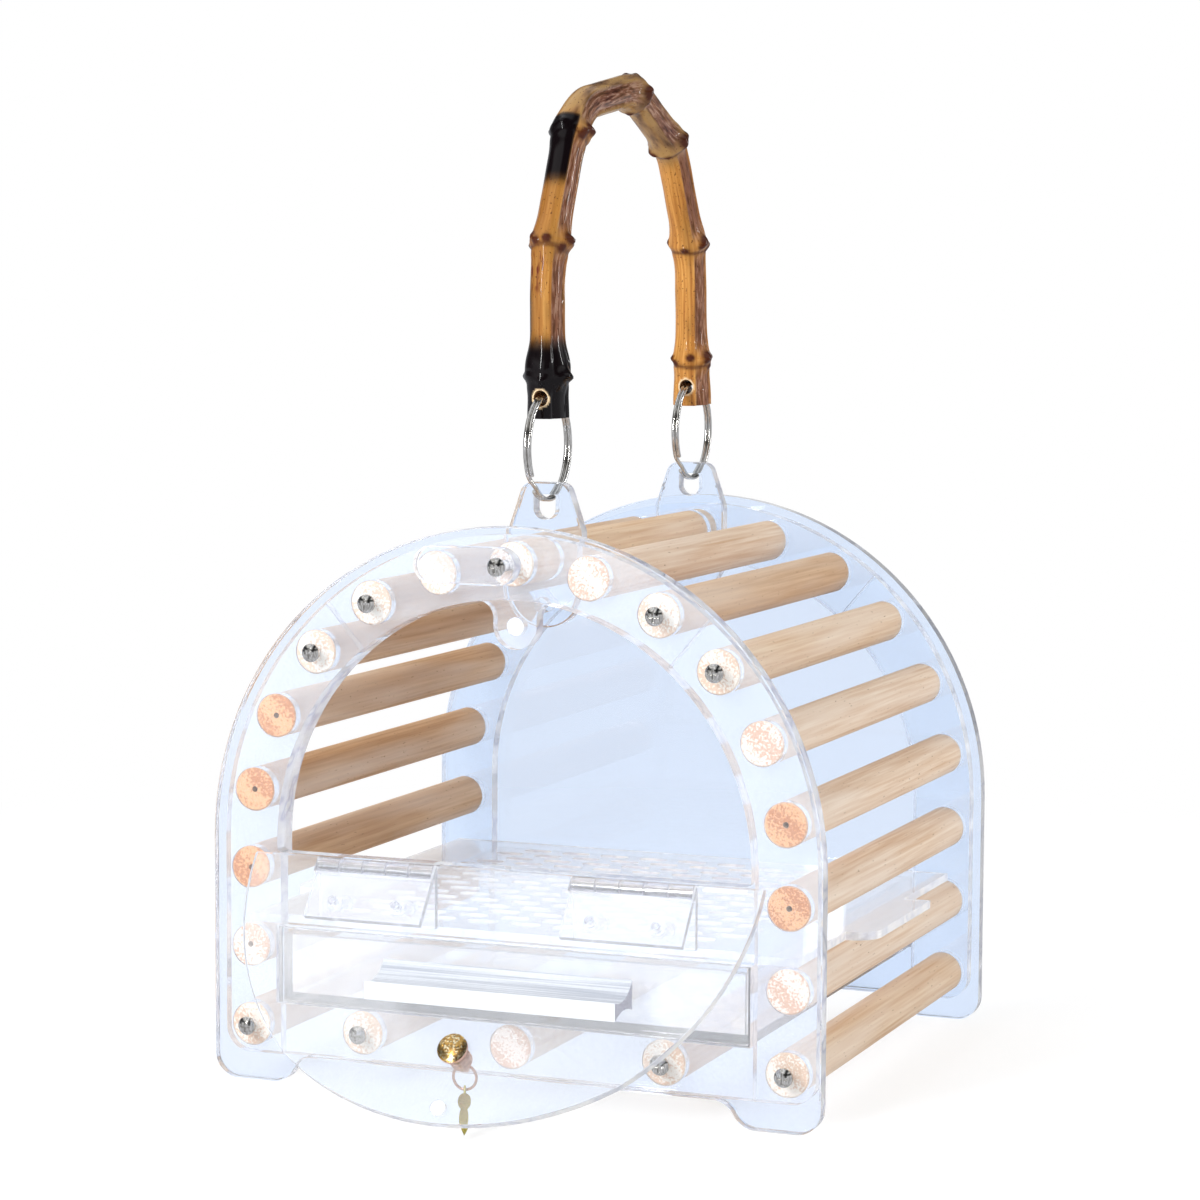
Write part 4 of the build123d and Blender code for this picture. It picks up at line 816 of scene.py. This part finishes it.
WIRE_SIDES = 16
WIRE_SQUARENESS = 3.2         # the pressed wire's section, between round and square
WIRE_FULLNESS = 0.97          # share of its half of the ring's width that one turn fills
COIL_STEP = math.radians(2)
COIL_START = math.radians(235)
COIL_TURN = math.radians(360 + 336)       # two turns, less the gap between the wire's ends
JOG_START, JOG_END = math.radians(334), math.radians(357)     # one turn crosses to the other here


def make_split_ring(name, body, node):
    """Two turns of pressed wire side by side, with the step where one turn crosses to the other."""
    low, high = (Vector(corner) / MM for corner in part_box(node))
    middle = (low + high) / 2
    outer = (high.z - low.z) / 2
    wire = (high.x - low.x) / 2
    rings = []
    for step in range(round(COIL_TURN / COIL_STEP) + 1):
        turned = step * COIL_STEP
        aside = wire * (begins(turned, JOG_START, JOG_END - JOG_START) - 0.5)
        turn = COIL_START + turned
        outward = Vector((0, math.cos(turn), math.sin(turn)))
        ring = []
        for side in range(WIRE_SIDES):
            angle = 2 * math.pi * (side + 0.5) / WIRE_SIDES
            out, over = math.cos(angle), math.sin(angle)
            squared = abs(out) ** WIRE_SQUARENESS + abs(over) ** WIRE_SQUARENESS
            size = wire / 2 * WIRE_FULLNESS / squared ** (1 / WIRE_SQUARENESS)
            reach = outer - wire / 2 + size * out
            ring.append(middle + outward * reach + Vector((aside + size * over, 0, 0)))
        rings.append(ring)
    coil = skinned(name, rings)
    coil.data.materials.append(nickel)
    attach(coil, body)
    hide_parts(node)


make_cane()
make_split_ring("front_split_ring_coil", "front_split_ring", "split_ring_front")
make_split_ring("rear_split_ring_coil", "rear_split_ring", "split_ring_rear")


# ---------------------------------------------------------------- camera

CAMERA_PLACE_MM = (476.8, -1177.3, 296.9)
CAMERA_TURN = 22.10           # degrees round from straight ahead
CAMERA_DOWN = 5.07
CAMERA_ROLL = 0.27
CAMERA_LENS = 101.85          # on a 36 mm sensor
CAMERA_SHIFT = (0.014, -0.0169)
CAMERA_FAR = 50000            # past the floor's far edge


def set_camera():
    """The viewing angle: from the front right, a little above the middle, with a long lens."""
    turn, down, roll = (math.radians(angle) for angle in (CAMERA_TURN, CAMERA_DOWN, CAMERA_ROLL))
    ahead = Vector((-math.sin(turn) * math.cos(down), math.cos(turn) * math.cos(down), -math.sin(down)))
    level = ahead.cross(Vector((0, 0, 1))).normalized()
    upright = level.cross(ahead)
    right = level * math.cos(roll) + upright * math.sin(roll)
    up = upright * math.cos(roll) - level * math.sin(roll)
    data = bpy.data.cameras.new("camera")
    data.lens = CAMERA_LENS
    data.shift_x, data.shift_y = CAMERA_SHIFT
    data.clip_end = CAMERA_FAR * MM
    camera = put_in_scene("camera", data)
    turned = Matrix((right, up, -ahead)).transposed()
    camera.matrix_world = Matrix.Translation(Vector(CAMERA_PLACE_MM) * MM) @ turned.to_4x4()
    bpy.context.scene.camera = camera


# ---------------------------------------------------------------- light and floor

BACKDROP_THROUGH = "#E6EFFE"  # what clear sheet shows behind it
BACKDROP_GLOSS = "#D4D6DC"    # what metal mirrors of the floor and the horizon
STUDIO_LIGHT = 0.78


def set_world():
    """White behind the object. Clear sheet shows a pale cool backdrop with a violet-grey band above
    it, metal and cut edges mirror a studio with dark bands and flags, and the light is soft and even."""
    world = bpy.data.worlds.new("studio")
    bpy.context.scene.world = world
    world.use_nodes = True
    tree = world.node_tree
    tree.nodes.clear()
    direction = add(tree, "ShaderNodeTexCoord", output="Generated")
    height = add(tree, "ShaderNodeSeparateXYZ", {0: direction}, output="Z")
    sideways = add(tree, "ShaderNodeSeparateXYZ", {0: direction}, output="X")
    sideways = add(tree, "ShaderNodeMapRange", {"Value": sideways, "From Min": -1.0, "From Max": 1.0})
    bands = add(tree, "ShaderNodeValToRGB", {0: height}, (
        (0.0, BACKDROP_GLOSS), (0.22, "#F4F5F8"), (0.34, "#2A2B30"),
        (0.5, "#1A1B20"), (0.62, "#FFFFFF"), (1.0, "#E3E7EF"),
    ))
    flags = add(tree, "ShaderNodeValToRGB", {0: sideways}, (
        (0.0, "#2E2F35"), (0.12, "#FFFFFF"), (0.5, "#FFFFFF"),
        (0.58, "#1C1D22"), (0.7, "#26272C"), (0.78, "#FFFFFF"),
    ))
    mirrored = add(tree, "ShaderNodeVectorMath", {0: bands, 1: flags}, operation="MULTIPLY")
    behind = add(tree, "ShaderNodeValToRGB", {0: height}, (
        (0.0, BACKDROP_THROUGH), (0.42, BACKDROP_THROUGH), (0.5, "#BEC0D3"),
        (0.58, "#B2B4C9"), (0.7, "#FFFFFF"),
    ))
    shader = add(tree, "ShaderNodeBackground", {"Color": linear("#FFFFFF"), "Strength": STUDIO_LIGHT})
    for ray, colour in (
        ("Is Glossy Ray", mirrored), ("Is Transmission Ray", behind), ("Is Camera Ray", linear("#FFFFFF")),
    ):
        seen = add(tree, "ShaderNodeBackground", {"Color": colour, "Strength": 1.0})
        factor = add(tree, "ShaderNodeLightPath", output=ray)
        shader = add(tree, "ShaderNodeMixShader", {0: factor, 1: shader, 2: seen})
    add(tree, "ShaderNodeOutputWorld", {"Surface": shader})


BODY_AIM_MM = (0, 0, 180)
HANDLE_AIM_MM = (0, 40, 310)


def add_softbox(name, place_mm, aim_mm, size_mm, watts, mirrored):
    """A rectangular soft light, aimed at a point, that gloss and clear sheet may or may not show."""
    data = bpy.data.lights.new(name, "AREA")
    data.shape = "RECTANGLE"
    data.size, data.size_y = (side * MM for side in size_mm)
    data.energy = watts
    lamp = put_in_scene(name, data)
    place, aim = Vector(place_mm) * MM, Vector(aim_mm) * MM
    turned = (aim - place).to_track_quat("-Z", "Y").to_matrix()
    lamp.matrix_world = Matrix.Translation(place) @ turned.to_4x4()
    lamp.visible_glossy = lamp.visible_transmission = mirrored


FLOOR_SIZE = 40000
FLOOR_SHADE = 0.30            # share of the floor's white that its light and shade can take away
FLOOR_LEVEL = 0.93            # how bright the lamps leave the open floor
SHADE_NEAR, SHADE_FAR = 230.0, 700.0          # the shadow fades out between these, from the middle


def add_floor():
    """White studio floor that keeps a faint soft shadow near the object and fades to plain white."""
    material, tree = new_material("white_studio_floor")
    place = add(tree, "ShaderNodeTexCoord", output="Object")
    reach = add(tree, "ShaderNodeVectorMath", {0: place}, output="Value", operation="LENGTH")
    near = add(tree, "ShaderNodeMapRange", {
        "Value": reach, "From Min": SHADE_NEAR * MM, "From Max": SHADE_FAR * MM,
        "To Min": FLOOR_SHADE, "To Max": 0.0,
    })
    through = add(tree, "ShaderNodeLightPath", output="Is Transmission Ray")
    colour = add(tree, "ShaderNodeMix", {
        SHARE: through, UNDER: linear("#FFFFFF"), OVER: linear(BACKDROP_THROUGH),
    }, **COLOUR_MIX)
    own = add(tree, "ShaderNodeMath", {0: near, 1: -FLOOR_LEVEL, 2: 1.0}, operation="MULTIPLY_ADD")
    glow = add(tree, "ShaderNodeEmission", {"Color": colour, "Strength": own})
    shade_colour = add(tree, "ShaderNodeVectorMath", {0: colour, "Scale": near}, operation="SCALE")
    shade = add(tree, "ShaderNodeBsdfDiffuse", {"Color": shade_colour})
    seen_floor = add(tree, "ShaderNodeAddShader", {0: glow, 1: shade})
    painted = add(tree, "ShaderNodeBsdfDiffuse", {"Color": linear("#F4F4F4")})
    in_gloss = add(tree, "ShaderNodeEmission", {"Color": linear(BACKDROP_GLOSS), "Strength": 1.0})
    glossy_ray = add(tree, "ShaderNodeLightPath", output="Is Glossy Ray")
    painted = add(tree, "ShaderNodeMixShader", {0: glossy_ray, 1: painted, 2: in_gloss})
    camera_ray = add(tree, "ShaderNodeLightPath", output="Is Camera Ray")
    seen = add(tree, "ShaderNodeMath", {0: camera_ray, 1: through}, operation="MAXIMUM")
    shader = add(tree, "ShaderNodeMixShader", {0: seen, 1: painted, 2: seen_floor})
    add(tree, "ShaderNodeOutputMaterial", {"Surface": shader})
    mesh = bpy.data.meshes.new("studio_floor")
    half = FLOOR_SIZE * MM / 2
    corners = [(-half, -half, 0), (half, -half, 0), (half, half, 0), (-half, half, 0)]
    mesh.from_pydata(corners, [], [(0, 1, 2, 3)])
    mesh.materials.append(material)
    floor = put_in_scene("studio_floor", mesh)


set_camera()
set_world()
add_floor()
add_softbox("key_softbox", (-700, -1100, 1100), BODY_AIM_MM, (900, 900), watts=13.5, mirrored=False)
add_softbox("handle_strip", (-340, -1080, 560), HANDLE_AIM_MM, (30, 560), watts=4.5, mirrored=True)
add_softbox("rim_strip", (900, 560, 560), HANDLE_AIM_MM, (40, 560), watts=3.0, mirrored=True)

LIGHT_BOUNCES = 32            # enough for light to pass every sheet between the lamps and the eye

scene = bpy.context.scene
scene.view_settings.view_transform = "Standard"
scene.cycles.max_bounces = LIGHT_BOUNCES
scene.cycles.transmission_bounces = LIGHT_BOUNCES
scene.cycles.transparent_max_bounces = LIGHT_BOUNCES
